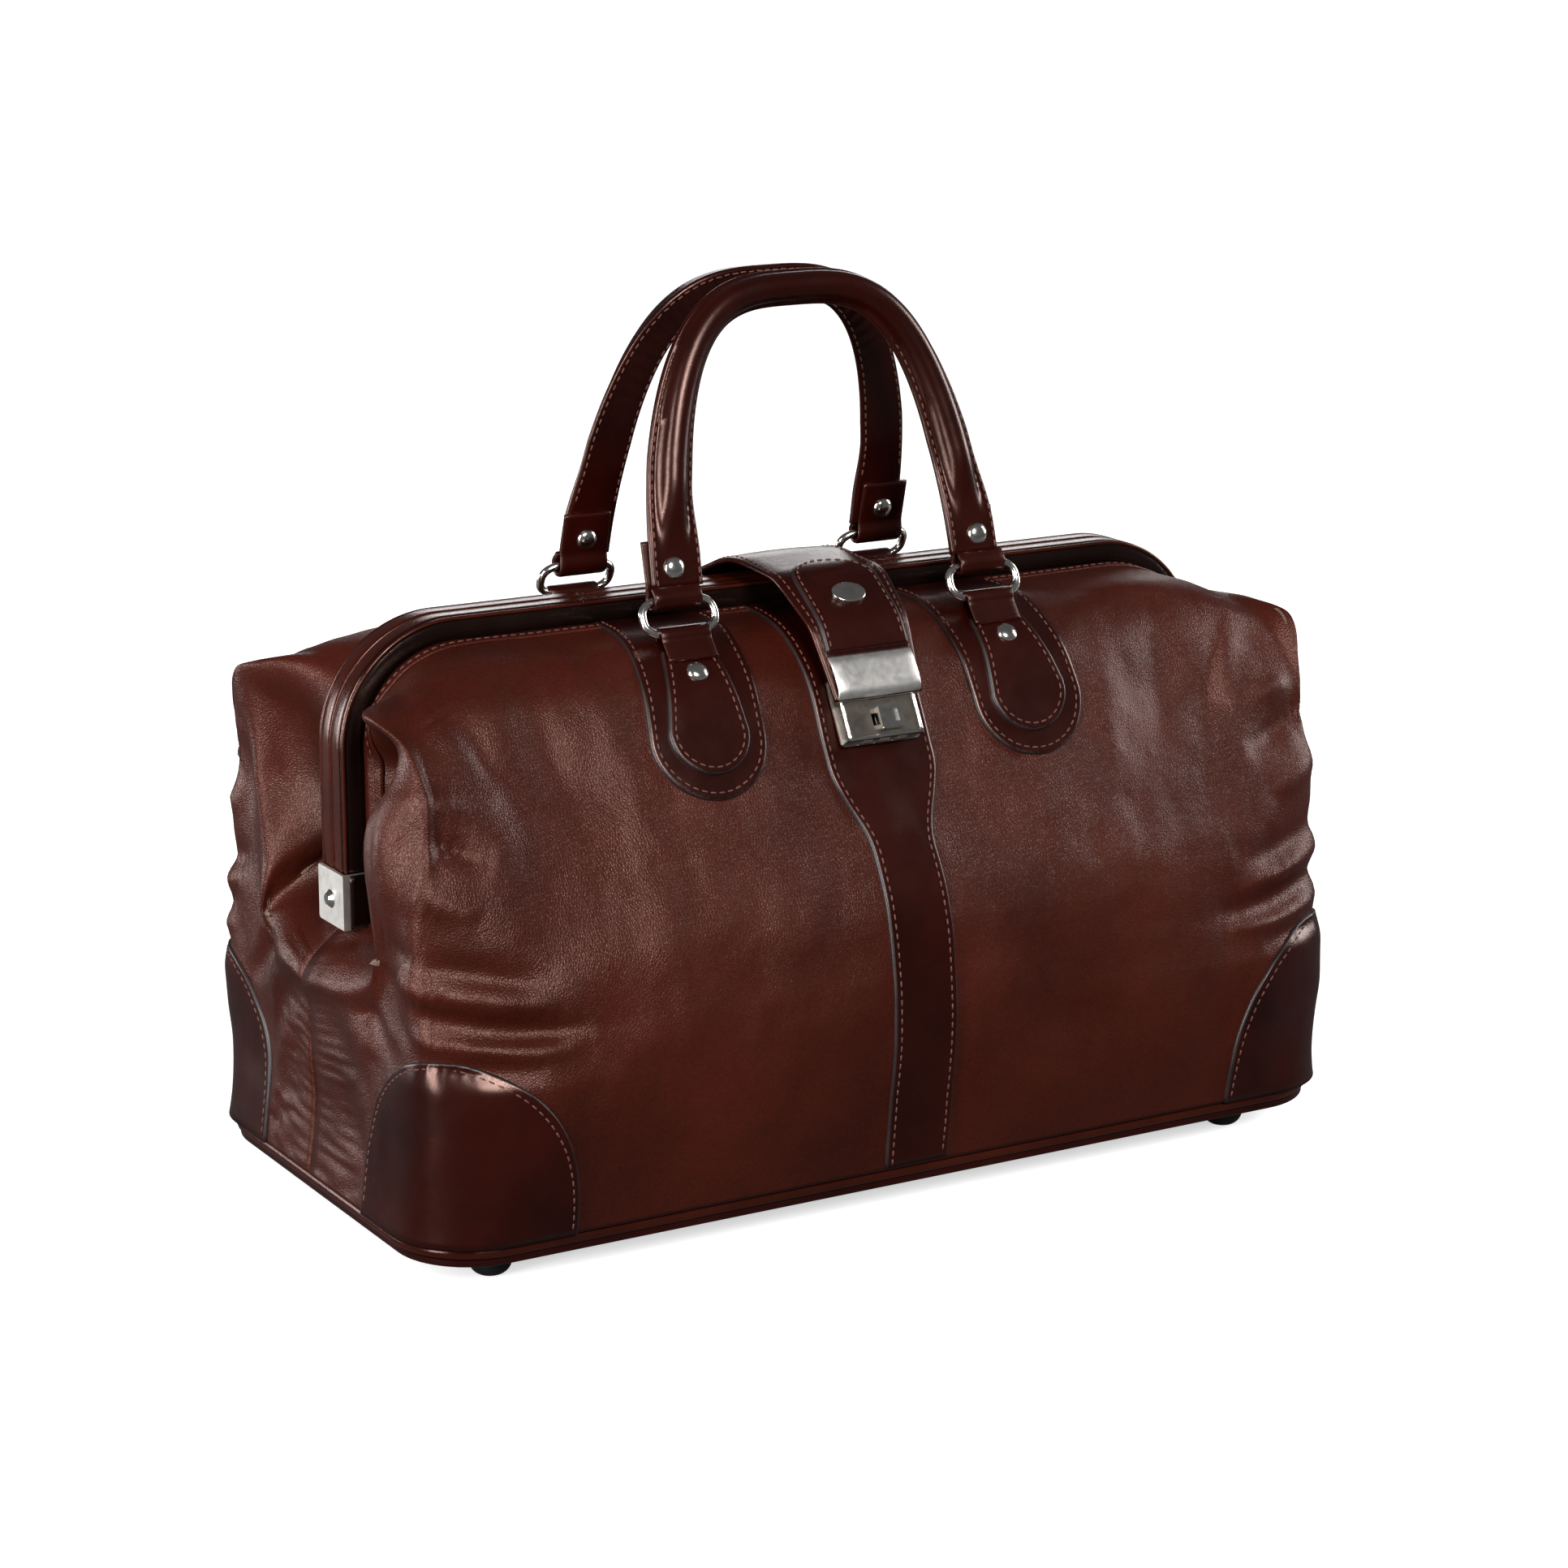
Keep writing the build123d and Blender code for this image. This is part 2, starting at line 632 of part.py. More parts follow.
half_strap = strap_thickness / 2
strap_front_end, taper_start, flap_tip = strap_line[0][0] + 1.5, -50.0, -90.0
base_end = 84.0
tongue_front, tongue_back, tongue_crown = -78.0, -30.0, -34.0
plaque_y, plaque_half_length, plaque_half_width, plaque_thickness = -60.0, 8.5, 6.0, 1.8
lock_seat = on_shoulder(0, lock_y, patch + 0.05)
cover_face = plate_thickness + lock_depth
hasp_lift = cover_face + 0.35 + strap_thickness

with BuildPart() as hasp_catch:
    with BuildSketch(lock_seat.offset(cover_face - catch_depth)):
        with Locations((0, catch_up)):
            Rectangle(catch_width, catch_length)
    extrude(amount=hasp_lift - cover_face + catch_depth)
keep(hasp_catch.part, "hasp_catch")

with BuildPart() as strap_flap:
    add(strap_layer(-half_strap, half_strap, strap_front_end, flap_root))
    with BuildSketch(Plane.XY.offset(200)):
        side, tip = strap_width / 2, strap_end_taper / 2
        outline = [(side, 40), (side, taper_start), (tip, flap_tip)]
        Polygon(*outline, *[(-x, y) for x, y in reversed(outline)], align=None)
    extrude(amount=120, mode=Mode.INTERSECT)
    add(hasp_catch.part, mode=Mode.SUBTRACT)
keep(strap_flap.part, "strap_flap")

with BuildPart() as strap_base:
    add(strap_layer(-half_strap, half_strap, base_root, base_end))
keep(strap_base.part, "strap_base")

with BuildPart() as strap_tongue:
    add(strap_layer(half_strap, half_strap + patch, tongue_front, tongue_back))
    with BuildSketch(Plane.XY.offset(200)):
        with BuildLine():
            half = hasp_width / 2
            Polyline((-half, taper_start), (-half, flap_tip), (half, flap_tip), (half, taper_start))
            ThreePointArc((half, taper_start), (0, tongue_crown), (-half, taper_start))
        make_face()
    extrude(amount=120, mode=Mode.INTERSECT)
keep(strap_tongue.part, "strap_tongue")

with BuildLine(Plane.YZ) as strap_middle:
    FilletPolyline(*strap_line, radius=strap_radii)

with BuildPart() as strap_plaque:
    with BuildSketch(resting_plane(strap_middle, 0, plaque_y, half_strap + patch + 0.05)):
        Ellipse(plaque_half_length, plaque_half_width)
    extrude(amount=plaque_thickness)
    fillet(strap_plaque.faces().sort_by(Axis.Z)[-1].edges(), 0.6)
keep(strap_plaque.part, "strap_plaque")

with BuildPart() as hasp:
    with BuildSketch(lock_seat.offset(hasp_lift)):
        with Locations((0, hasp_up)):
            RectangleRounded(hasp_width, hasp_length, 1.5)
    extrude(amount=hasp_thickness)
keep(hasp.part, "hasp")

# ---------------------------------------------------------------- lock

with BuildPart() as lock_plate:
    with BuildSketch(lock_seat):
        RectangleRounded(lock_width + 2, lock_height + 2, 2)
    extrude(amount=plate_thickness)
keep(lock_plate.part, "lock_plate")

axle_up, axle_depth = -lock_height / 2 + 1.2, plate_thickness + wheel_radius + 0.15


def along_axle(x):
    """A plane square to the number wheels' axle, at that x."""
    return Plane(origin=lock_seat.from_local_coords((x, axle_up, axle_depth)), z_dir=(1, 0, 0))


with BuildPart() as wheel_axle:
    with BuildSketch(along_axle(cover_wall - lock_width / 2)):
        Circle(wheel_axle_radius)
    extrude(amount=lock_width - 2 * cover_wall)
keep(wheel_axle.part, "wheel_axle")

wheel_places = [(number * wheel_pitch, -lock_height / 2) for number in (-1, 0, 1)]
with BuildPart() as lock_cover:
    with BuildSketch(lock_seat.offset(plate_thickness)):
        RectangleRounded(lock_width, lock_height, 1)
    extrude(amount=lock_depth)
    with BuildSketch(lock_seat.offset(plate_thickness)):
        Rectangle(lock_width - 2 * cover_wall, lock_height - 2 * cover_wall)
        with Locations(*wheel_places):
            Rectangle(wheel_width + 0.8, 3 * wheel_radius)
    extrude(amount=lock_depth - cover_wall, mode=Mode.SUBTRACT)
    with BuildSketch(lock_seat.offset(plate_thickness)):
        with Locations((button_x - button_travel / 2, button_up)):
            Rectangle(button_travel + button_stem + 1, button_stem + 1)
        with Locations((0, catch_up + 4.5)):
            Rectangle(catch_width + 1.5, catch_length + 10)
    extrude(amount=lock_depth, mode=Mode.SUBTRACT)
    add(wheel_axle.part, mode=Mode.SUBTRACT)
keep(lock_cover.part, "lock_cover")

with BuildPart() as lock_button:
    with BuildSketch(lock_seat.offset(cover_face + 0.2)):
        with Locations((button_x, button_up)):
            cap = Rectangle(button_width, button_height)
        fillet(cap.vertices(), 1.2)
    extrude(amount=button_rise)
    with BuildSketch(lock_seat.offset(cover_face + 0.2 + button_rise)):
        with Locations((button_x, button_up)):
            Rectangle(button_width - 5, button_height - 5)
    extrude(amount=-1.6, mode=Mode.SUBTRACT)
    with BuildSketch(lock_seat.offset(plate_thickness + 1.5)):
        with Locations((button_x, button_up)):
            Rectangle(button_stem, button_stem)
    extrude(amount=cover_face + 0.3 - plate_thickness - 1.5)
    with BuildSketch(lock_seat.offset(plate_thickness + 1.5)):
        with Locations((button_x, button_up)):
            Rectangle(button_stem + 3, button_stem + 3)
    extrude(amount=1.5)
keep(lock_button.part, "lock_button")

ridges, ridge_radius = 10, 0.45
for number, side in enumerate(("left", "middle", "right")):
    with BuildPart() as number_wheel:
        with BuildSketch(along_axle((number - 1) * wheel_pitch - wheel_width / 2)):
            Circle(wheel_radius - ridge_radius)
            with PolarLocations(wheel_radius - ridge_radius, ridges):
                Circle(ridge_radius)
            Circle(wheel_axle_radius + running, mode=Mode.SUBTRACT)
        extrude(amount=wheel_width)
    keep(number_wheel.part, f"number_wheel_{side}")
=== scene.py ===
"""Looks of the doctor bag: sagging leather panels, straps, handles and lock fittings over the CAD frame.

Lengths in this script are millimetres until a mesh is made, and the front half is drawn at -Y. The back
half is the front half turned to +Y by the side value, which is -1 at the front and 1 at the back.
The left and right ends are told apart by the outward value in the same way.
"""

import math

import bmesh
import bpy
import numpy as np
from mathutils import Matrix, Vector, noise
from mathutils.bvhtree import BVHTree


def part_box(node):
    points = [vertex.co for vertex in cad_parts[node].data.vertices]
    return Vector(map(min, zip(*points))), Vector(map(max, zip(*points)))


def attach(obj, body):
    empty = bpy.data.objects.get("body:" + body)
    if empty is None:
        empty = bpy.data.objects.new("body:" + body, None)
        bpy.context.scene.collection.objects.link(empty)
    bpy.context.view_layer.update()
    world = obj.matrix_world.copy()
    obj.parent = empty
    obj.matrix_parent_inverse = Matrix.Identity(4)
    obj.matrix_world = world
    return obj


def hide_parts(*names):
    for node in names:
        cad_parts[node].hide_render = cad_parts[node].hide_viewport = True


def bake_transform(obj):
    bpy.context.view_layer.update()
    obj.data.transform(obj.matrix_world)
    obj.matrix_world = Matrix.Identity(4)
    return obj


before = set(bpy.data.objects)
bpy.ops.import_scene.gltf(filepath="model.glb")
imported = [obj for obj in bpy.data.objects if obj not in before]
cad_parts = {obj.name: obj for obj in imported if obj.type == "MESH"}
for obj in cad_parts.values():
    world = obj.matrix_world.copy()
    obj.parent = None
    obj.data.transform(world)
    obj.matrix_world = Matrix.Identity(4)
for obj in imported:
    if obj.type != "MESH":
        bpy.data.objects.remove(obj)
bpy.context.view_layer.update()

MM = 0.001
FRONT, BACK = HALVES = (-1, 1)
LEFT, RIGHT = ENDS = (-1, 1)
SIDE_NAMES = {FRONT: "front", BACK: "back"}
END_NAMES = {LEFT: "left", RIGHT: "right"}


def node_box(node):
    """Lowest and highest corner of a CAD node, in millimetres."""
    low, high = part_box(node)
    return np.array(low) / MM, np.array(high) / MM


# ---------------------------------------------------------------- sizes

wrap_low, wrap_high = node_box("front_frame_wrap")
piping_high = node_box("base_piping")[1]
hinge_low, hinge_high = node_box("hinge_plate_left")

FRAME_SECTION = 11.0
FRAME_HALF = -wrap_low[1]
FRAME_TOP = wrap_high[2]
FRAME_SIDE = wrap_high[0]
FRAME_FOOT = wrap_low[2]
FRAME_CORNER = 55.0
HEM_FOOT = 148.0

BODY_BOTTOM = 24.5
BASE_SIDE = piping_high[0] + 0.5
BASE_FRONT = piping_high[1] + 1.5
BASE_CORNER = 36.0
LEATHER = 2.2
LINING = 0.9
PATCH = 1.5
STITCH_INSET = 3.2

RING_X = 80.0
LOWER_BAR = np.array([-53.5, 265.8])
RING_LEAN = math.radians(26.0)
RING_PITCH = 17.0
WIRE = 1.9
UPPER_BAR = LOWER_BAR + RING_PITCH * np.array([math.sin(RING_LEAN), math.cos(RING_LEAN)])
HANDLE_LEAN = math.radians(14.0)

STRAP_WIDTH, STRAP_END, STRAP_THICKNESS = 57.0, 45.0, 2.6
STRAP_LINE = [(-89.5, 233.8), (-71.1, 267.1), (-46.0, 284.5), (-2.0, 287.8), (67.4, 259.9), (87.5, 223.5)]
STRAP_RADII = [25.0, 30.0, 60.0, 40.0]


# ---------------------------------------------------------------- mesh tools


def smooth_through(stations, values, at):
    """Cubic curve through the values at their stations, read at other stations."""
    stations = np.asarray(stations, float)
    values = np.asarray(values, float)
    at = np.asarray(at, float)
    steps = np.diff(stations)
    shape = (-1,) + (1,) * (values.ndim - 1)
    slopes = np.diff(values, axis=0) / steps.reshape(shape)
    before, after = steps[:-1].reshape(shape), steps[1:].reshape(shape)
    inner = (slopes[1:] * before + slopes[:-1] * after) / (before + after)
    tangents = np.concatenate([slopes[:1], inner, slopes[-1:]])
    i = np.clip(np.searchsorted(stations, at, side="right") - 1, 0, len(stations) - 2)
    h = steps[i].reshape(shape)
    t = ((at - stations[i]) / steps[i]).reshape(shape)
    return (
        (2 * t**3 - 3 * t**2 + 1) * values[i]
        + (t**3 - 2 * t**2 + t) * h * tangents[i]
        + (3 * t**2 - 2 * t**3) * values[i + 1]
        + (t**3 - t**2) * h * tangents[i + 1]
    )


def lengths_along(points):
    """Distance along a run of points, from its first one."""
    points = np.asarray(points, float)
    return np.concatenate([[0.0], np.cumsum(np.linalg.norm(np.diff(points, axis=0), axis=1))])


def resample(points, step, closed=False):
    """The run of points again, evenly spaced at about that step."""
    points = np.asarray(points, float)
    if closed:
        points = np.vstack([points, points[:1]])
    along = lengths_along(points)
    count = max(2, int(round(along[-1] / step)) + 1)
    at = np.linspace(0, along[-1], count)
    made = np.stack([np.interp(at, along, points[:, k]) for k in range(points.shape[1])], axis=1)
    return made[:-1] if closed else made


def rounded_run(corners, radii, step=1.0):
    """Straight runs joined by tangent arcs, as points about one step apart."""
    corners = [np.array(c, float) for c in corners]
    run = [corners[0]]
    for before, corner, after, radius in zip(corners, corners[1:], corners[2:], radii):
        to_before, to_after = before - corner, after - corner
        to_before /= np.linalg.norm(to_before)
        to_after /= np.linalg.norm(to_after)
        half_turn = math.acos(np.clip(to_before @ to_after, -1, 1)) / 2
        middle = to_before + to_after
        middle /= np.linalg.norm(middle)
        centre = corner + middle * radius / math.sin(half_turn)
        reach = radius / math.tan(half_turn)
        start, end = corner + to_before * reach - centre, corner + to_after * reach - centre
        sweep = math.pi - 2 * half_turn
        count = max(3, int(sweep * radius / step))
        for t in np.linspace(0, 1, count + 1):
            blend = math.sin((1 - t) * sweep) * start + math.sin(t * sweep) * end
            run.append(centre + blend / math.sin(sweep))
    run.append(corners[-1])
    return resample(run, step)


def grid_faces(rows, columns, wrap=False, start=0):
    """Quads between the points of a grid, counted row by row. A wrapped grid closes on itself sideways."""
    faces = []
    for r in range(rows - 1):
        for c in range(columns if wrap else columns - 1):
            a = start + r * columns + c
            b = start + r * columns + (c + 1) % columns
            faces.append((a, b, b + columns, a + columns))
    return faces


def add_piece(name, points, faces, materials, face_materials=None, smooth=True):
    """A new mesh object from points in millimetres."""
    mesh = bpy.data.meshes.new(name)
    mesh.from_pydata([tuple(float(x) * MM for x in p) for p in points], [], [tuple(f) for f in faces])
    for material in materials if isinstance(materials, (list, tuple)) else [materials]:
        mesh.materials.append(material)
    if face_materials is not None:
        mesh.polygons.foreach_set("material_index", np.asarray(face_materials, np.int32))
    mesh.polygons.foreach_set("use_smooth", [smooth] * len(mesh.polygons))
    shell = bmesh.new()
    shell.from_mesh(mesh)
    bmesh.ops.recalc_face_normals(shell, faces=shell.faces)
    shell.to_mesh(mesh)
    shell.free()
    piece = bpy.data.objects.new(name, mesh)
    bpy.context.scene.collection.objects.link(piece)
    return piece


def outward_normals(grid):
    """Unit normals of a grid of points, by its own two directions."""
    across = np.gradient(grid, axis=1)
    down = np.gradient(grid, axis=0)
    normal = np.cross(across, down)
    return normal / np.maximum(np.linalg.norm(normal, axis=2, keepdims=True), 1e-9)


def closed_sheet(name, top, bottom, materials, edge_marks=None):
    """A closed sheet between two grids of the same size. Cells with an edge mark use the second material."""
    rows, columns = top.shape[:2]
    size = rows * columns
    points = np.vstack([top.reshape(-1, 3), bottom.reshape(-1, 3)])
    upper = grid_faces(rows, columns)
    marks = [0] * len(upper) if edge_marks is None else list(edge_marks)
    faces = [face[::-1] for face in upper] + [tuple(v + size for v in face) for face in upper]
    marks = marks + [0] * len(upper)
    rim = list(range(columns))
    rim += [r * columns + columns - 1 for r in range(1, rows)]
    rim += [(rows - 1) * columns + c for c in range(columns - 2, -1, -1)]
    rim += [r * columns for r in range(rows - 2, 0, -1)]
    for a, b in zip(rim, rim[1:] + rim[:1]):
        faces.append((a, b, b + size, a + size))
        marks.append(0 if edge_marks is None else 1)
    return add_piece(name, points, faces, materials, marks)


def swept(name, sections, material, closed_path=False, face_materials=None):
    """A skin through closed cross-sections of equal count, capped at the ends unless the path closes."""
    sections = [np.asarray(s, float) for s in sections]
    count, ring = len(sections), len(sections[0])
    points = np.vstack(sections)
    faces = grid_faces(count, ring, wrap=True)
    if closed_path:
        last = (count - 1) * ring
        faces += [(last + c, last + (c + 1) % ring, (c + 1) % ring, c) for c in range(ring)]
    else:
        faces += [tuple(range(ring))[::-1], tuple((count - 1) * ring + c for c in range(ring))]
    return add_piece(name, points, faces, material, face_materials)


def stitch_run(path, lifts, pitch=4.3, length=3.1, radius=0.42):
    """Points and faces of thread dashes along a path. lifts are the surface normals at the path's points."""
    path, lifts = np.asarray(path, float), np.asarray(lifts, float)
    along = lengths_along(path)
    points, faces = [], []
    ring, profile = 6, [(-0.5, 0.25), (-0.3, 1.0), (0.3, 1.0), (0.5, 0.25)]
    for number in range(int(along[-1] / pitch)):
        middle = (number + 0.5) * pitch
        spots = []
        for share, _ in profile:
            s = middle + share * length
            spots.append(np.array([np.interp(s, along, path[:, k]) for k in range(3)]))
        up = np.array([np.interp(middle, along, lifts[:, k]) for k in range(3)])
        up /= np.linalg.norm(up)
        run = spots[-1] - spots[0]
        run /= max(np.linalg.norm(run), 1e-6)
        cross = np.cross(run, up)
        start = len(points)
        for spot, (share, girth) in zip(spots, profile):
            dip = 0.25 if abs(share) > 0.4 else 0.0
            for k in range(ring):
                turn = 2 * math.pi * k / ring
                offset = radius * girth * (cross * math.cos(turn) + 0.75 * up * math.sin(turn))
                points.append(spot - dip * up + offset)
        faces += grid_faces(len(profile), ring, wrap=True, start=start)
        faces.append(tuple(start + k for k in range(ring))[::-1])
        faces.append(tuple(start + (len(profile) - 1) * ring + k for k in range(ring)))
    return points, faces


def merged(shapes):
    """Points and faces of several (points, faces) shapes together."""
    points, faces = [], []
    for new_points, new_faces in shapes:
        faces += [tuple(v + len(points) for v in face) for face in new_faces]
        points += new_points
    return points, faces


def seam(found):
    """The path and the normals of a seam, from its (point, normal) places."""
    return [point for point, _ in found], [normal for _, normal in found]


def stitches(name, runs):
    """One piece of thread dashes along several (path, normals) runs."""
    points, faces = merged(stitch_run(path, lifts) for path, lifts in runs)
    return add_piece(name, points, faces, thread)


def revolved(profile, place, across, up, segments=28):
    """Points and faces of a turned shape: (radius, height) pairs about an axis that stands on a place."""
    across = np.asarray(across, float)
    up = np.asarray(up, float)
    other = np.cross(up, across)
    points = []
    for radius, height in profile:
        for k in range(segments):
            turn = 2 * math.pi * k / segments
            points.append(place + height * up + radius * (across * math.cos(turn) + other * math.sin(turn)))
    faces = grid_faces(len(profile), segments, wrap=True)
    faces.append(tuple(range(segments))[::-1])
    faces.append(tuple((len(profile) - 1) * segments + k for k in range(segments)))
    return points, faces


# ---------------------------------------------------------------- materials


class Shading:
    """A material under construction: its node tree, its shader and short ways to add nodes."""

    def __init__(self, name, **constants):
        self.material = bpy.data.materials.new(name)
        self.material.use_nodes = True
        self.nodes = self.material.node_tree.nodes
        self.links = self.material.node_tree.links
        self.shader = self.nodes["Principled BSDF"]
        self.place = self.nodes.new("ShaderNodeTexCoord").outputs["Object"]
        self.height = None
        for socket, value in constants.items():
            self.shader.inputs[socket.replace("_", " ")].default_value = value

    def noise(self, scale, detail=3.0, roughness=0.55, stretch=None):
        """Noise in object space, stretched along the axes if asked. The scale is per metre."""
        node = self.nodes.new("ShaderNodeTexNoise")
        node.inputs["Scale"].default_value = scale
        node.inputs["Detail"].default_value = detail
        node.inputs["Roughness"].default_value = roughness
        self.links.new(self.stretched(stretch), node.inputs["Vector"])
        return node.outputs["Fac"]

    def cells(self, scale, feature="DISTANCE_TO_EDGE", randomness=1.0):
        """Voronoi cells in object space. The scale is per metre."""
        node = self.nodes.new("ShaderNodeTexVoronoi")
        node.feature = feature
        node.inputs["Scale"].default_value = scale
        node.inputs["Randomness"].default_value = randomness
        self.links.new(self.place, node.inputs["Vector"])
        return node.outputs["Distance"]

    def wave(self, scale, direction):
        """Straight bands in object space, for threads."""
        node = self.nodes.new("ShaderNodeTexWave")
        node.bands_direction = direction
        node.inputs["Scale"].default_value = scale
        node.inputs["Distortion"].default_value = 0.4
        self.links.new(self.place, node.inputs["Vector"])
        return node.outputs["Fac"]

    def stretched(self, stretch):
        """The object's coordinates, scaled differently along each axis."""
        if stretch is None:
            return self.place
        node = self.nodes.new("ShaderNodeMapping")
        node.inputs["Scale"].default_value = stretch
        self.links.new(self.place, node.inputs["Vector"])
        return node.outputs["Vector"]

    def ramp(self, value, stops):
        """A colour ramp of (position, grey or colour) stops."""
        node = self.nodes.new("ShaderNodeValToRGB")
        while len(node.color_ramp.elements) < len(stops):
            node.color_ramp.elements.new(0.5)
        for element, (position, colour) in zip(node.color_ramp.elements, stops):
            element.position = position
            element.color = (colour,) * 3 + (1,) if isinstance(colour, (int, float)) else tuple(colour) + (1,)
        self.links.new(value, node.inputs["Fac"])
        return node.outputs["Color"]

    def scaled(self, value, low, high):
        """A value from 0..1 taken to low..high."""
        node = self.nodes.new("ShaderNodeMapRange")
        node.inputs["To Min"].default_value = low
        node.inputs["To Max"].default_value = high
        self.links.new(value, node.inputs["Value"])
        return node.outputs["Result"]

    def mixed(self, a, b, factor):
        """Two colours mixed by a factor socket."""
        node = self.nodes.new("ShaderNodeMix")
        node.data_type = "RGBA"
        for socket, value in (("Factor", factor), ("A", a), ("B", b)):
            found = [i for i in node.inputs if i.name == socket and i.enabled][0]
            if hasattr(value, "is_output"):
                self.links.new(value, found)
            elif isinstance(value, (int, float)):
                found.default_value = value
            else:
                found.default_value = tuple(value) + (1,)
        return [o for o in node.outputs if o.enabled][0]

    def colour(self, value):
        """Uses a value as the shader's colour."""
        self.links.new(value, self.shader.inputs["Base Color"])

    def roughness(self, value):
        """Uses a value as the shader's roughness."""
        self.links.new(value, self.shader.inputs["Roughness"])

    def bump(self, value, depth, strength=1.0):
        """Adds a layer of relief, depth metres deep, over those already there."""
        node = self.nodes.new("ShaderNodeBump")
        node.inputs["Strength"].default_value = strength
        node.inputs["Distance"].default_value = depth
        self.links.new(value, node.inputs["Height"])
        if self.height is not None:
            self.links.new(self.height, node.inputs["Normal"])
        self.height = node.outputs["Normal"]
        self.links.new(self.height, self.shader.inputs["Normal"])


SHEEN_TINT = (1.0, 0.64, 0.55, 1.0)  # warm highlights, as on dyed leather


def make_grained_leather():
    """Pebbled body leather: reddish brown, mottled, with small raised grains and a soft sheen."""
    made = Shading("grained_leather", Specular_IOR_Level=0.4, Specular_Tint=SHEEN_TINT)
    tone = made.ramp(made.noise(14, 4), [(0.3, (0.021, 0.0022, 0.0008)), (0.7, (0.05, 0.0068, 0.003))])
    fine = made.ramp(made.noise(900, 2), [(0.35, (0.016, 0.0018, 0.0007)), (0.65, (0.055, 0.0085, 0.004))])
    made.colour(made.mixed(tone, fine, 0.3))
    made.roughness(made.scaled(made.noise(45, 4), 0.3, 0.46))
    made.bump(made.noise(38, 5), 0.0012, 0.6)
    made.bump(made.ramp(made.cells(820), [(0.0, 0.0), (0.35, 1.0)]), 0.00018, 0.5)
    made.bump(made.noise(2100, 3), 0.0001, 0.5)
    return made.material


def make_smooth_leather(name, dark, light, rough_low, rough_high):
    """Glossy smooth leather for straps, patches and handles, with fine pores and faint scuffs."""
    made = Shading(name, Specular_IOR_Level=0.5, Specular_Tint=SHEEN_TINT)
    made.colour(made.ramp(made.noise(22, 5), [(0.3, dark), (0.72, light)]))
    made.roughness(made.scaled(made.noise(60, 3), rough_low, rough_high))
    made.bump(made.noise(42, 3), 0.0006, 0.5)
    made.bump(made.ramp(made.cells(1500), [(0.0, 0.0), (0.3, 1.0)]), 0.00004, 0.4)
    return made.material


def make_metal(name, colour, rough, grain):
    """Plated metal with a brushed grain and faint wear."""
    made = Shading(name, Metallic=1.0)
    wear = made.ramp(made.noise(160, 4), [(0.45, 0.0), (0.8, 1.0)])
    made.colour(made.mixed(colour, tuple(0.72 * c for c in colour), wear))
    made.roughness(made.scaled(made.noise(420, 3), rough, rough + 0.14))
    made.bump(made.noise(900, 3, stretch=(grain, 1, 1)), 0.00004, 0.4)
    return made.material


def make_plain(name, dark, light, rough, relief, scale):
    """A matt or satin material with a mottled colour and a fine relief."""
    made = Shading(name)
    made.colour(made.ramp(made.noise(scale / 8, 4), [(0.3, dark), (0.7, light)]))
    made.roughness(made.scaled(made.noise(scale / 4, 3), rough, rough + 0.12))
    made.bump(made.noise(scale, 3), relief, 0.6)
    return made.material


def make_lining():
    """Brown cotton lining with a plain weave."""
    made = Shading("lining_cloth", Roughness=0.88, Sheen_Weight=0.3)
    weave = made.mixed(made.wave(260, "X"), made.wave(260, "Z"), 0.5)
    made.colour(made.ramp(weave, [(0.2, (0.075, 0.042, 0.026)), (0.8, (0.16, 0.098, 0.062))]))
    made.bump(weave, 0.00025, 0.7)
    return made.material


grained_leather = make_grained_leather()
smooth_leather = make_smooth_leather(
    "smooth_leather", (0.008, 0.0005, 0.0002), (0.022, 0.0018, 0.0007), 0.2, 0.32)
frame_leather = make_smooth_leather(
    "frame_leather", (0.02, 0.0022, 0.0009), (0.045, 0.0065, 0.003), 0.16, 0.26)
# Painted shade: a near-black copy of the smooth leather. It goes on the frame bars' front faces and grooves
# and on the hinge plates' front flanges, where shade falls.
painted_shade_leather = make_smooth_leather(
    "painted_shade_leather", (0.0025, 0.0012, 0.001), (0.006, 0.0028, 0.0024), 0.12, 0.22)
edge_paint = make_plain("edge_paint", (0.008, 0.004, 0.004), (0.02, 0.009, 0.008), 0.35, 0.0001, 700)
thread = make_plain("thread", (0.06, 0.017, 0.011), (0.13, 0.044, 0.03), 0.6, 0.0001, 2500)
nickel = make_metal("nickel", (0.86, 0.84, 0.8), 0.1, 0.12)
satin_nickel = make_metal("satin_nickel", (0.82, 0.8, 0.76), 0.4, 0.06)
# Painted shade and painted highlight: the lock face and the hasp are copies of one plating that face the same
# way. The lock face's copy is made dark to stand for shade, and the hasp's copy is made brighter than the
# nickel to stand for light.
shaded_lock_metal = make_metal("shaded_lock_metal", (0.17, 0.15, 0.125), 0.32, 0.06)
lit_hasp_metal = make_metal("lit_hasp_metal", (0.95, 0.92, 0.88), 0.3, 0.06)
frame_steel = make_metal("frame_steel", (0.45, 0.45, 0.46), 0.34, 0.2)
lining_cloth = make_lining()
stiff_board = make_plain("stiff_board", (0.05, 0.036, 0.026), (0.085, 0.062, 0.046), 0.75, 0.0002, 500)
rope_core = make_plain("rope_core", (0.3, 0.22, 0.13), (0.48, 0.37, 0.24), 0.85, 0.0006, 400)
foot_plastic = make_plain("foot_plastic", (0.007, 0.007, 0.007), (0.016, 0.015, 0.015), 0.28, 0.00008, 900)


# ---------------------------------------------------------------- the leather body

COLUMN_STEP, ROWS = 2.0, 132
HEM_INSET = FRAME_SECTION
HEM_SIDE = FRAME_SIDE - HEM_INSET
HEM_TOP = FRAME_TOP - HEM_INSET
HEM_CORNER = FRAME_CORNER - HEM_INSET
HEM_DEPTH = FRAME_HALF + 0.3

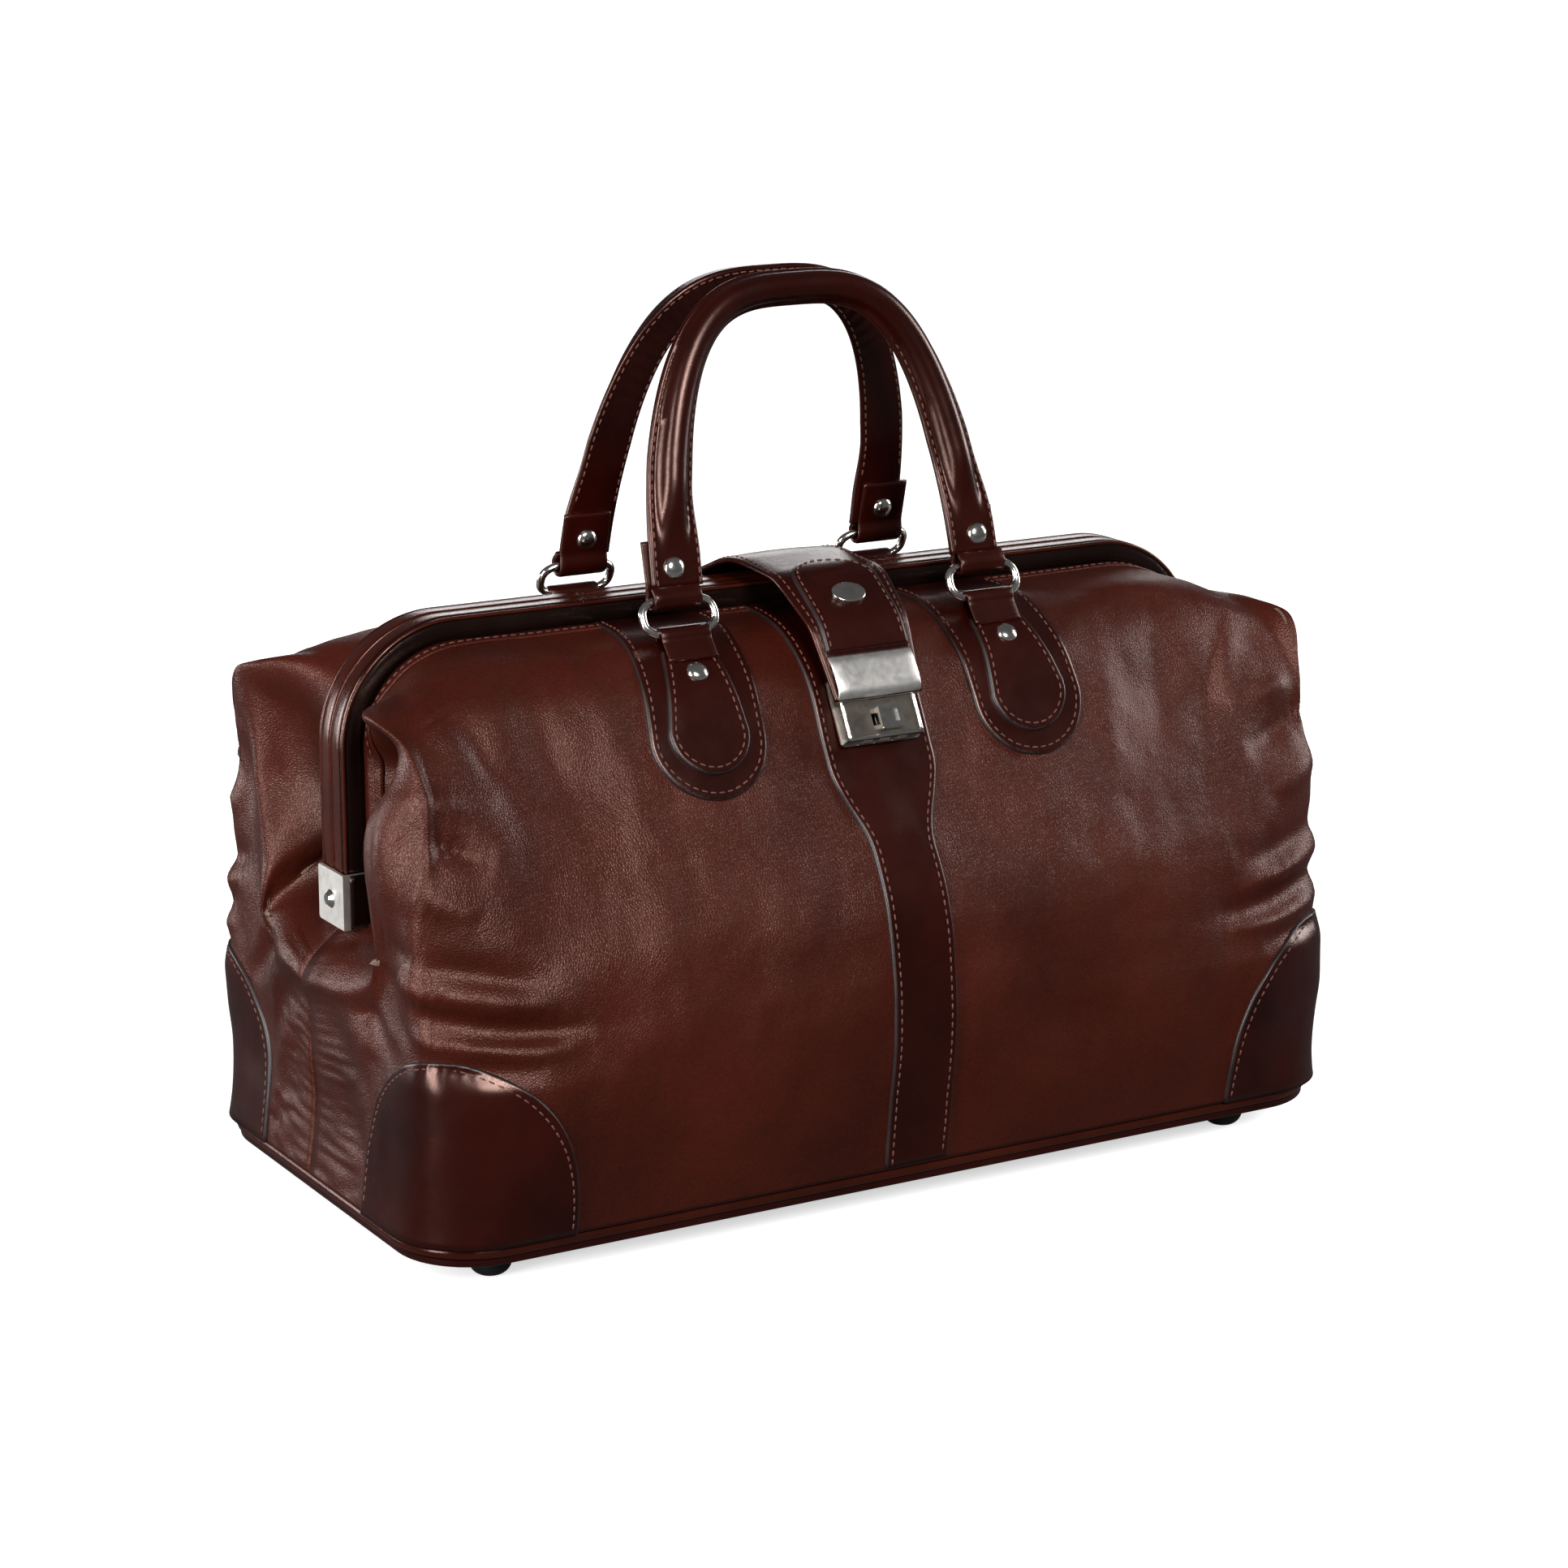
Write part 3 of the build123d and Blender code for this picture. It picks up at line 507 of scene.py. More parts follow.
# The middle of the front in side view (depth from the middle plane, height), from the frame to the base
MIDDLE = [(12.8, 265), (30, 264.3), (50, 259.4), (67.5, 247), (85, 217.5), (104, 184), (121.5, 151),
          (128.5, 117), (129, 72), (124.5, 24.5)]


def middle_rib(x, spread=1.0):
    """A rib of the plain front at that x."""
    return [(x * (1 + 0.02 * spread * k / 9), depth, height) for k, (depth, height) in enumerate(MIDDLE)]


END_REACH, WAIST_REACH = 241.5, 237.0  # the furthest x of any rib, and of the ribs' points at the waist
HEM_HALF = HEM_TOP - HEM_CORNER - HEM_FOOT + HEM_CORNER * math.pi / 2 + HEM_SIDE - HEM_CORNER

# Ribs of one end, from the seam below the hinge to the plain front: (place along the hem, ten points).
# Places on the leg are heights, and places above the corner are in degrees round it. x is outwards.
PULLED_IN_EAR = [
    (160, [(216.5, 13.5, 160), (212, 22, 158), (207, 34, 153), (214, 44, 146), (233, 46, 139), (243, 44, 127),
           (248, 40, 113), (250, 38, 90), (248, 37, 58), (241.5, 36, 24.5)]),
    (184, [(216.5, 13, 184), (205, 27, 184), (182, 46, 182), (196, 62, 178), (234, 60, 172), (252, 66, 158),
           (247, 66, 132), (249, 62, 102), (248, 61, 62), (241.5, 62, 24.5)]),
    (206, [(216.5, 13, 206), (205, 27, 206), (178, 47, 205), (194, 66, 206), (233, 62, 208), (248, 73, 190),
           (242, 78, 146), (243, 74, 112), (244, 72, 68), (240, 74, 24.5)]),
    (218, [(216.5, 13, 218), (206, 27, 219), (183, 46, 220), (197, 62, 221), (225, 65, 221), (240, 80, 204),
           (240, 87, 157), (242, 86, 119), (243, 85, 71), (237, 88, 24.5)]),
    (224, [(216, 13, 224), (215, 28, 228), (214, 44, 232), (219, 58, 234), (226, 71, 230), (233, 87, 209),
           (238, 92, 160), (240, 92, 120), (241, 91, 72), (236, 95, 24.5)]),
    (45, [(203.6, 12.8, 252), (206, 30, 252), (209, 46, 250), (213, 62, 244), (218, 79, 228), (220, 97, 197),
          (229, 108, 157), (230, 112, 120), (229, 113, 72), (225, 113, 24.5)]),
]
POINTED_EAR = [
    PULLED_IN_EAR[0],
    (182, [(216.5, 13, 182), (211, 25, 181), (210, 37, 177), (220, 46, 170), (236, 51, 160), (245, 55, 144),
           (243, 54, 124), (246, 54, 99), (247, 56, 62), (241.5, 59, 24.5)]),
    (204, [(216.5, 13, 204), (211, 26, 204), (212, 39, 203), (222, 51, 198), (236, 58, 190), (239, 64, 172),
           (243, 69, 145), (243, 70, 112), (244, 71, 68), (240, 74, 24.5)]),
    (219, [(216.5, 13, 219), (215, 26, 223), (218, 40, 227), (227, 54, 229), (238, 66, 221), (234, 76, 194),
           (241, 82, 157), (242, 84, 119), (243, 84, 71), (237, 87, 24.5)]),
    (228, [(216, 13, 228), (219, 28, 238), (227, 44, 243), (236, 59, 243), (244, 73, 237), (236, 84, 203),
           (239, 89, 161), (240, 91, 120), (241, 91, 72), (236, 95, 24.5)]),
    (45, [(203.6, 12.8, 252), (208, 30, 254.5), (215, 46, 254), (223, 62, 247), (230, 79, 230),
          (228, 95, 196), (231, 107, 158), (232, 112, 120), (231, 113, 72), (224, 113.5, 24.5)]),
]


def seam_rib(side):
    """The rib at the end of a half, from under the hinge down the seam behind the middle plane."""
    lean = [9, 5, 0, 4 * side, 6 * side, 7 * side, 7 * side, 7 * side, 6 * side, 5 * side]
    return (148, list(zip([216.5, 219, 224, 230, 236, 241, 245.5, 247.5, 247, 241.5], lean,
                          [148, 143, 138, 131, 124, 115, 103, 84, 56, 24.5])))


def hem_length(place):
    """Distance along the hem from its foot to a place: a height on the leg, or degrees round the corner."""
    if place > 90:
        return place - HEM_FOOT
    return HEM_TOP - HEM_CORNER - HEM_FOOT + HEM_CORNER * math.radians(place)


def hem_point(along):
    """The hem line at a distance from its left foot, as (x, height)."""
    leg = HEM_TOP - HEM_CORNER - HEM_FOOT
    turn = HEM_CORNER * math.pi / 2
    sign, along = (-1, along) if along <= HEM_HALF else (1, 2 * HEM_HALF - along)
    if along < leg:
        x, z = HEM_SIDE, HEM_FOOT + along
    elif along < leg + turn:
        angle = (along - leg) / HEM_CORNER
        x = HEM_SIDE - HEM_CORNER + HEM_CORNER * math.cos(angle)
        z = HEM_TOP - HEM_CORNER + HEM_CORNER * math.sin(angle)
    else:
        x, z = HEM_HALF - along, HEM_TOP
    return sign * x, z


def onto_base(point):
    """The nearest point of the base's rounded outline to a point in plan."""
    x, depth = point
    inner = np.array([BASE_SIDE - BASE_CORNER, BASE_FRONT - BASE_CORNER])
    p = np.array([abs(x), depth])
    if p[0] < inner[0]:
        return x, BASE_FRONT
    if p[1] < inner[1]:
        return math.copysign(BASE_SIDE, x), depth
    away = p - inner
    away = inner + away * BASE_CORNER / np.linalg.norm(away)
    return math.copysign(away[0], x), away[1]


def rib_field(left_end, right_end):
    """Grid of points (x, depth, height) over one half of the body, rows from the hem to the base."""
    stations, ribs = [], []
    for place, points in left_end:
        stations.append(hem_length(place))
        ribs.append([(-x, y, z) for x, y, z in points])
    for x in (-172, -135, -70, 0, 70, 135, 172):
        stations.append(HEM_HALF + x)
        ribs.append(middle_rib(x, 6 if abs(x) > 150 else 1))
    for place, points in reversed(right_end):
        stations.append(2 * HEM_HALF - hem_length(place))
        ribs.append(points)
    ribs = np.array(ribs, float)
    ribs[:, :, 0] = np.clip(ribs[:, :, 0], -END_REACH, END_REACH)
    ribs[:, 6:9, 0] = np.clip(ribs[:, 6:9, 0], -WAIST_REACH, WAIST_REACH)
    steps = np.linalg.norm(np.diff(ribs, axis=1), axis=2).mean(axis=0)
    levels = np.concatenate([[0.0], np.cumsum(steps)])
    columns = int(2 * HEM_HALF / COLUMN_STEP)
    along = np.linspace(0, 2 * HEM_HALF, columns)
    across = smooth_through(stations, ribs, along)
    down = np.linspace(0, 1, ROWS)
    grid = smooth_through(levels, across.transpose(1, 0, 2), down * levels[-1])
    fade_top = np.clip(1 - down * levels[-1] / 30, 0, 1)[:, None] ** 2
    fade_low = np.clip(1 - (1 - down) * levels[-1] / 40, 0, 1)[:, None] ** 2
    for c, s in enumerate(along):
        x, z = hem_point(s)
        depth = HEM_DEPTH if s > 20 and s < 2 * HEM_HALF - 20 else grid[0, c, 1]
        grid[:, c] += fade_top * (np.array([x, depth, z]) - grid[0, c])
        x, depth = onto_base(grid[-1, c, :2])
        grid[:, c] += fade_low * (np.array([x, depth, BODY_BOTTOM]) - grid[-1, c])
    return grid


# Folds pressed into the leather or raised from it: route (x, depth, height), width and height of the fold.
# Each is given for the left end, and a fold for the right end has its x mirrored.
END_FOLDS = [
    ([(246, 76, 160), (226, 105, 150), (199, 118, 143), (176, 121, 140)], 6, -5.0),
    ([(247, 82, 148), (229, 108, 139), (204, 122, 134), (178, 126, 131)], 6, 4.5),
    ([(244, 92, 136), (222, 117, 127), (196, 127, 122), (165, 129, 121)], 5.5, -4.5),
    ([(245, 95, 122), (216, 121, 116), (186, 129, 113), (168, 129, 114)], 5, 4.0),
    ([(243, 99, 110), (214, 123, 105), (186, 129, 103)], 5, -2.5),
    ([(240, 74, 214), (222, 88, 214), (205, 95, 215), (190, 98, 212)], 5, 3.5),
    ([(236, 84, 202), (216, 97, 196), (198, 106, 190)], 7, -4.5),
    ([(214, 50, 248), (200, 74, 232), (186, 92, 214)], 8, 3.0),
    ([(206, 60, 246), (190, 84, 226), (172, 104, 196)], 9, -3.5),
    ([(246, 86, 184), (228, 100, 176), (208, 110, 168)], 6, 3.0),
    ([(246, 40, 128), (246, 62, 112), (243, 84, 98)], 7, -4.0),
    ([(238, 20, 134), (246, 32, 112), (248, 44, 88)], 6, 4.0),
    ([(247, 14, 100), (247, 24, 74), (245, 40, 48)], 7, -3.5),
    ([(170, 50, 259), (160, 76, 234), (152, 100, 192)], 12, -2.2),
    ([(140, 46, 261), (128, 80, 226), (122, 108, 178)], 12, 2.0),
]


def relaxed(grid, rounds):
    """The grid with its inner points drawn towards their neighbours, which softens sharp folds."""
    grid = grid.copy()
    for _ in range(rounds):
        middle = (grid[:-2, 1:-1] + grid[2:, 1:-1] + grid[1:-1, :-2] + grid[1:-1, 2:]) / 4
        grid[1:-1, 1:-1] = (grid[1:-1, 1:-1] + middle) / 2
    return grid


def eased(grid, rounds=14, allowed=1.3, full=3.0):
    """The grid with its tightest folds opened, so that a sheet with thickness can follow it."""
    soft = relaxed(grid, rounds) - grid
    tight = np.clip((np.linalg.norm(soft, axis=2, keepdims=True) - allowed) / (full - allowed), 0, 1)
    return grid + soft * np.minimum(1, 1.5 * relaxed(tight, 6))


def press(grid, route, width, height):
    """Moves the grid's points along their normals near a route, most on the route itself."""
    normals = outward_normals(relaxed(grid, 6))
    points = grid.reshape(-1, 3)
    nearest = np.full(len(points), 1e9)
    place = np.zeros(len(points))
    along = lengths_along(route)
    route = resample(smooth_through(along, route, np.linspace(0, along[-1], 16)), 5)
    for number, spot in enumerate(route):
        gap = np.linalg.norm(points - spot, axis=1)
        closer = gap < nearest
        nearest = np.where(closer, gap, nearest)
        place = np.where(closer, number / (len(route) - 1), place)
    strength = height * np.exp(-((nearest / width) ** 1.5)) * np.sin(np.pi * place) ** 0.7
    return grid + normals * strength.reshape(grid.shape[:2])[:, :, None]


def unevenness(grid, seed):
    """Soft unevenness of hanging leather, in millimetres out of the surface."""
    out = np.zeros(grid.shape[:2])
    for scale, size in ((70.0, 3.2), (26.0, 1.1), (11.0, 0.35)):
        for r in range(grid.shape[0]):
            for c in range(grid.shape[1]):
                x, y, z = grid[r, c]
                out[r, c] += size * noise.noise(Vector((x / scale + seed, y / scale, z / scale * 0.8)))
    return out


def body_grid(side, left_end, right_end, seed):
    """The outer face of one half of the body, as a grid of points in the bag's frame."""
    grid = rib_field([seam_rib(side)] + left_end, [seam_rib(side)] + right_end)
    for route, width, height in END_FOLDS:
        for mirror_x in (-1, 1):
            grid = press(grid, [(mirror_x * x, y, z) for x, y, z in route], width, height)
    rows = np.linspace(0, 1, ROWS)
    quiet = np.clip(rows / 0.1, 0, 1) * np.clip((1 - rows) / 0.12, 0, 1)
    grid += outward_normals(grid) * (unevenness(grid, seed) * quiet[:, None])[:, :, None]
    grid[:, :, 1] *= side
    return grid


# How long the cloth hangs, its growth as a share of its size, and the furthest it may move
CLOTH_FRAMES, CLOTH_GROWTH, CLOTH_REACH = 14, 0.022, 5.0


def settled(grid, side):
    """One half of the body after it has hung as slightly slack cloth, fast at the hem, base and seams.

    Every second point is simulated, and the movement is spread back over the whole grid."""
    coarse = grid[::2, ::2]
    rows, columns = coarse.shape[:2]
    panel = add_piece("settling", coarse.reshape(-1, 3), grid_faces(rows, columns), [])
    if side == FRONT:
        panel.data.flip_normals()
    hold = panel.vertex_groups.new(name="held")
    for r in range(rows):
        for c in range(columns):
            near_end = min(r - 1, rows - 2 - r, c - 1, columns - 2 - c)
            weight = 1.0 if near_end < 0 else max(0.0, 0.8 - 0.16 * near_end)
            if weight > 0:
                hold.add([r * columns + c], weight, "REPLACE")
    cloth = panel.modifiers.new("cloth", "CLOTH")
    settings = cloth.settings
    settings.vertex_group_mass = "held"
    settings.quality = 6
    settings.mass = 0.4
    settings.tension_stiffness = settings.compression_stiffness = 25
    settings.shear_stiffness = 12
    settings.bending_stiffness = 12
    settings.shrink_min = -CLOTH_GROWTH
    settings.use_pressure = True
    settings.uniform_pressure_force = 0.15
    cloth.point_cache.frame_end = CLOTH_FRAMES
    cloth.collision_settings.use_collision = False
    scene = bpy.context.scene
    for number in range(1, CLOTH_FRAMES + 1):
        scene.frame_set(number)
    shown = panel.evaluated_get(bpy.context.evaluated_depsgraph_get())
    moved = np.array([v.co for v in shown.data.vertices]).reshape(rows, columns, 3) / MM - coarse
    scene.frame_set(1)
    mesh = panel.data
    bpy.data.objects.remove(panel)
    bpy.data.meshes.remove(mesh)
    far = np.linalg.norm(moved, axis=2, keepdims=True)
    moved *= CLOTH_REACH * np.tanh(far / CLOTH_REACH) / np.maximum(far, 1e-9)
    for fine_count, coarse_count in zip(grid.shape[:2], (rows, columns)):
        stations = np.arange(coarse_count) * 2.0
        moved = smooth_through(stations, moved, np.minimum(np.arange(fine_count), stations[-1]))
        moved = moved.transpose(1, 0, 2)
    ends = np.clip((np.abs(grid[:, :, 0]) - 120) / 60, 0, 1)
    below_ears = np.clip((195 - grid[:, :, 2]) / 45, 0, 1)
    off_the_seam = np.clip((np.abs(grid[:, :, 1]) - 35) / 20, 0, 1)
    by_the_patch = off_the_seam * np.clip((120 - grid[:, :, 2]) / 25, 0, 1)
    return grid + moved * (ends * below_ears * (1 - by_the_patch))[:, :, None]


def finished_grid(side, left_end, right_end, seed):
    """The body grid of one half after its cloth has settled, with its tightest folds opened."""
    grid = body_grid(side, left_end, right_end, seed)
    grid = settled(grid, side)
    return eased(eased(grid))


SHAPES = {
    FRONT: finished_grid(FRONT, PULLED_IN_EAR, POINTED_EAR, 3.1),
    BACK: finished_grid(BACK, POINTED_EAR, POINTED_EAR, 17.7),
}


def panel_normals(side):
    """Outward normals of one half's grid, evened out over neighbouring points."""
    return outward_normals(relaxed(SHAPES[side], 4)) * side


def room_inside(side):
    """The share of the sheets' thickness that fits at each point: 1 on the flat, 0.15 in a tight fold."""
    bend = np.linalg.norm(relaxed(SHAPES[side], 6) - SHAPES[side], axis=2, keepdims=True)
    return relaxed(np.clip(1.1 - 0.8 * bend, 0.15, 1), 3)


def bend_with(piece):
    """Bakes the piece's placement into its mesh. The leather is fast to the base below and to its frame half
    above, but nothing here ties it to either.
    """
    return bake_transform(piece)


LINING_SLACK = 6.0  # how far the lining stands in from the leather in a tight fold


def make_panel(side):
    """One half of the leather body with its lining, both hanging from the frame's hem to the base."""
    name = SIDE_NAMES[side]
    grid, normals, room = SHAPES[side], panel_normals(side), room_inside(side)
    panel = closed_sheet(name + "_panel", grid, grid - LEATHER * room * normals, grained_leather)
    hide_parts(name + "_panel_lower", name + "_panel_upper")
    inwards = grid * (-0.2, -1.0, 0.0)
    inwards /= np.maximum(np.linalg.norm(inwards, axis=2, keepdims=True), 1e-9)
    top = grid - (LEATHER * room + 0.15) * normals + LINING_SLACK * (1 - room) * inwards
    inner = closed_sheet(name + "_lining_cloth", top, top - LINING * room * normals, lining_cloth)
    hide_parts(name + "_lining")
    if side == FRONT:
        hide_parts("lower_lining")
        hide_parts("end_fold_left", "end_fold_right")
    bend_with(panel)
    bend_with(inner)


for half in HALVES:
    make_panel(half)


def make_hem(side):
    """The turned edge that is stitched down along the frame, with its row of thread."""
    name, rows = SIDE_NAMES[side], 5
    grid, normals = (whole[:rows, 6:-6] for whole in (SHAPES[side], panel_normals(side)))
    hem = closed_sheet(name + "_hem", grid + 0.9 * normals, grid - 0.3 * normals, grained_leather)
    bend_with(hem)
    path = SHAPES[side][2, 6:-6] + 1.0 * panel_normals(side)[2, 6:-6]
    sewn = stitches(name + "_hem_stitches", [(path, panel_normals(side)[2, 6:-6])])
    bend_with(sewn)


for half in HALVES:
    make_hem(half)


# ---------------------------------------------------------------- places on the body

middle_run = lengths_along(MIDDLE)
middle_table = smooth_through(middle_run, MIDDLE, np.arange(0, middle_run[-1], 1.0))
middle_along = lengths_along(middle_table)
middle_slope = np.gradient(middle_table, axis=0)
middle_slope /= np.linalg.norm(middle_slope, axis=1, keepdims=True)
MIDDLE_LENGTH = middle_along[-1]
SURFACES = {}
for half in HALVES:
    spots = SHAPES[half]
    corners = [tuple(spot) for spot in spots.reshape(-1, 3)]
    SURFACES[half] = BVHTree.FromPolygons(corners, grid_faces(*spots.shape[:2]))


def drop_onto(side, point, normal):
    """Where a point over the body meets the leather, going in along its normal."""
    hit = SURFACES[side].ray_cast(Vector(point + 25 * normal), Vector(-normal), 60)[0]
    return point if hit is None else np.array(hit)


def body_place(side):
    """A way to find a point of that half from x, the distance down from the frame and a lift."""
    def find(x, down, lift=0.0):
        depth, height = (np.interp(down, middle_along, middle_table[:, k]) for k in (0, 1))
        along = np.array([np.interp(down, middle_along, middle_slope[:, k]) for k in (0, 1)])
        normal = np.array([0.0, -along[1] * side, along[0]])
        point = drop_onto(side, np.array([x, side * depth, height]), normal)
        return point + lift * normal, normal
    return find


def down_at(depth):
    """Distance down from the frame, along the middle of the body, at that depth from the middle plane."""
    return float(np.interp(depth, middle_table[:70, 0], middle_along[:70]))


def down_at_height(height):
    """Distance down from the frame at that height on the body's face."""
    return float(np.interp(-height, -middle_table[40:, 1], middle_along[40:]))


# ---------------------------------------------------------------- flat leather pieces on a surface


def patch(name, place, levels, half_width, inset, thickness, material,
          edge=1.1, base=0.0, columns=27):
    """A leather piece laid on a surface. Its outline is a half width at each level, and its edge is rounded.
    inset(a, b) is the distance of a point from the outline."""
    spread = np.sin(np.linspace(-math.pi / 2, math.pi / 2, columns))
    top, bottom, marks = [], [], []
    for number, b in enumerate(levels):
        half = half_width(b)
        upper, lower = [], []
        for c in spread:
            a = c * half
            depth = max(0.0, min(1.0, inset(a, b) / edge))
            lift = base + thickness * math.sqrt(1 - (1 - depth) ** 2)
            upper.append(place(a, b, lift)[0])
            lower.append(place(a, b, base - 0.7)[0])
        top.append(upper)
        bottom.append(lower)
        if number < len(levels) - 1:
            middles = (spread[1:] + spread[:-1]) / 2 * half
            marks += [1 if inset(a, b) < edge else 0 for a in middles]
    return closed_sheet(name, np.array(top), np.array(bottom), [material, edge_paint], marks)


def tongue_levels(start, length, radius, step=2.5):
    """Levels down a tongue with a round end, closer together round the end."""
    straight = np.arange(start, length - radius, step)
    around = length - radius + radius * np.sin(np.radians(np.linspace(0, 89, 16)))
    return np.concatenate([straight, around])


def tongue(top_width, bottom_width, length):
    """Half width and inset of a tongue that widens from level 0 to a round end."""
    radius = bottom_width / 2

    def half_width(b):
        if b > length - radius:
            return math.sqrt(max(radius**2 - (b - length + radius) ** 2, 0.05))
        share = np.clip(b / (length - radius), 0, 1)
        return (top_width + (bottom_width - top_width) * share) / 2

    def inset(a, b):
        if b > length - radius:
            return radius - math.hypot(a, b - length + radius)
        return half_width(b) - abs(a)

    return half_width, inset


def tongue_seam(place, start, top_width, bottom_width, length, lift):
    """Path and normals of a stitch line just inside a tongue's outline."""
    radius = bottom_width / 2
    half_width = tongue(top_width, bottom_width, length)[0]
    levels = np.arange(start, length - radius, 3.0)
    left = [(-(half_width(b) - STITCH_INSET), b) for b in levels]
    turn = [(-(radius - STITCH_INSET) * math.cos(t), length - radius + (radius - STITCH_INSET) * math.sin(t))
            for t in np.linspace(0, math.pi, 30)]
    right = [(-a, b) for a, b in reversed(left)]
    found = [place(a, b, lift) for a, b in left + turn + right]
    return seam(found)


TAB_SPLAY = math.radians(5)
BAR_DOWN = down_at(-LOWER_BAR[0])
TAB_TOP, TAB_BOTTOM, TAB_LENGTH = 25.0, 40.0, 62.0
BACKING_WIDTH, BACKING_LENGTH, BACKING_RISE = 57.0, 73.0, BAR_DOWN - 1.5


def tab_place(side, outward):
    """Places on a tab: a across it and b down from the ring's bar."""
    on_body = body_place(side)

    def find(a, b, lift=0.0):
        x = outward * (RING_X + b * math.sin(TAB_SPLAY)) + a * math.cos(TAB_SPLAY)
        down = BAR_DOWN + b * math.cos(TAB_SPLAY) - outward * a * math.sin(TAB_SPLAY)
        return on_body(x, max(down, 0.5), lift)
    return find


def rounded_strip(half, thickness, rows=5):
    """Cross-section of a flat strip with rounded edges, as (across, out) pairs round it."""
    radius = thickness / 2
    points = [(half - radius + radius * math.cos(t), radius * math.sin(t))
              for t in np.linspace(-math.pi / 2, math.pi / 2, rows)]
    fill = [(x, radius) for x in np.linspace(half - radius, radius - half, 8)[1:-1]]
    other = [(-x, -y) for x, y in points]
    fill_back = [(-x, -y) for x, y in fill]
    return points + fill + other + fill_back


def ribbon(name, path, across, half_widths, thickness, material):
    """A flat strip along a path, with its width along a fixed direction."""
    path, across = np.asarray(path, float), np.asarray(across, float)
    along = np.gradient(path, axis=0)
    sections = []
    for spot, run, half in zip(path, along, half_widths):
        out = np.cross(run, across)
        out /= np.linalg.norm(out)
        sections.append([spot + a * across + n * out for a, n in rounded_strip(half, thickness)])
    return swept(name, sections, material)


def dome(name, places):
    """Domed rivet heads, one on each (point, outward normal)."""
    profile = [(5.0, -0.6), (5.1, 0.2), (4.9, 0.8), (4.3, 1.5), (3.3, 2.1), (2.0, 2.5), (0.7, 2.65)]
    points, faces = merged(revolved(profile, np.array(spot), (1, 0, 0), up) for spot, up in places)
    return add_piece(name, points, faces, nickel)


RIVET_DOWN = 15.0


def make_tab(side, outward):
    """The tab that holds a ring, on its backing, with its loop round the bar. Returns its rivet's place."""
    name = f"{SIDE_NAMES[side]}_tab_{END_NAMES[outward]}"
    body = SIDE_NAMES[side] + "_frame"
    place = tab_place(side, outward)
    half_width, inset = tongue(BACKING_WIDTH - 3, BACKING_WIDTH, BACKING_LENGTH)
    backing = patch(name + "_backing", place, tongue_levels(-BACKING_RISE, BACKING_LENGTH, BACKING_WIDTH / 2),
                    half_width, inset, PATCH, smooth_leather)
    half_width, inset = tongue(TAB_TOP, TAB_BOTTOM, TAB_LENGTH)
    tab = patch(name + "_leather", place, tongue_levels(3, TAB_LENGTH, TAB_BOTTOM / 2), half_width, inset,
                PATCH + 0.3, smooth_leather, base=PATCH)
    bar = np.array([outward * RING_X, side * -LOWER_BAR[0], LOWER_BAR[1]])
    start = place(0, 9, 2 * PATCH + 0.6)[0]
    end = place(0, -5, PATCH + 0.5)[0]
    loop_radius = WIRE + 1.3
    turns = np.radians(np.linspace(-20, 200, 14))
    around = [bar + loop_radius * np.array([0, side * math.cos(t), math.sin(t)]) for t in turns]
    path = resample([start] + around + [end], 1.5)
    path[:, 0] = bar[0]
    loop = ribbon(name + "_loop", path, (1, 0, 0), [TAB_TOP / 2] * len(path), 1.8, smooth_leather)
    sewn = stitches(name + "_stitches", [
        tongue_seam(place, -BACKING_RISE + 2, BACKING_WIDTH - 3, BACKING_WIDTH, BACKING_LENGTH, PATCH + 0.1),
        tongue_seam(place, 6, TAB_TOP, TAB_BOTTOM, TAB_LENGTH, 2 * PATCH + 0.4),
    ])
    for piece in (backing, tab, loop, sewn):
        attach(piece, body)
    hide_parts(name)
    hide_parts(SIDE_NAMES[side] + "_tab_backings")
    return place(0, RIVET_DOWN, 2 * PATCH + 0.3)


for half in HALVES:
    heads = dome(SIDE_NAMES[half] + "_tab_rivet_heads", [make_tab(half, outward) for outward in ENDS])
    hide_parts(SIDE_NAMES[half] + "_tab_rivets")
    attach(heads, SIDE_NAMES[half] + "_frame")


BAND_WIDE, BAND_NARROW = 57.0, 33.0
WIDE_END, NARROW_START = down_at_height(207), down_at_height(170)


def make_band(side):
    """The centre band, wide under the lock and narrowing in an S to the base, with both edges stitched."""
    place = body_place(side)

    def half_width(down):
        share = np.clip((down - WIDE_END) / (NARROW_START - WIDE_END), 0, 1)
        share = share * share * (3 - 2 * share)
        return (BAND_WIDE + (BAND_NARROW - BAND_WIDE) * share) / 2

    def inset(a, down):
        return half_width(down) - abs(a)

    name = SIDE_NAMES[side] + "_band"
    levels = np.arange(1.5, MIDDLE_LENGTH, 3.0)
    band = patch(name, place, levels, half_width, inset, PATCH, smooth_leather)
    runs = []
    for sign in (-1, 1):
        spots = np.arange(8, MIDDLE_LENGTH, 3)
        runs.append(seam([place(sign * (half_width(b) - STITCH_INSET), b, PATCH + 0.1) for b in spots]))
    sewn = stitches(name + "_stitches", runs)
    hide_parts(name + "_lower", name + "_upper")
    bend_with(band)
    bend_with(sewn)


for half in HALVES:
    make_band(half)


PATCH_HALF, PATCH_RISE = 62.0, 83.0


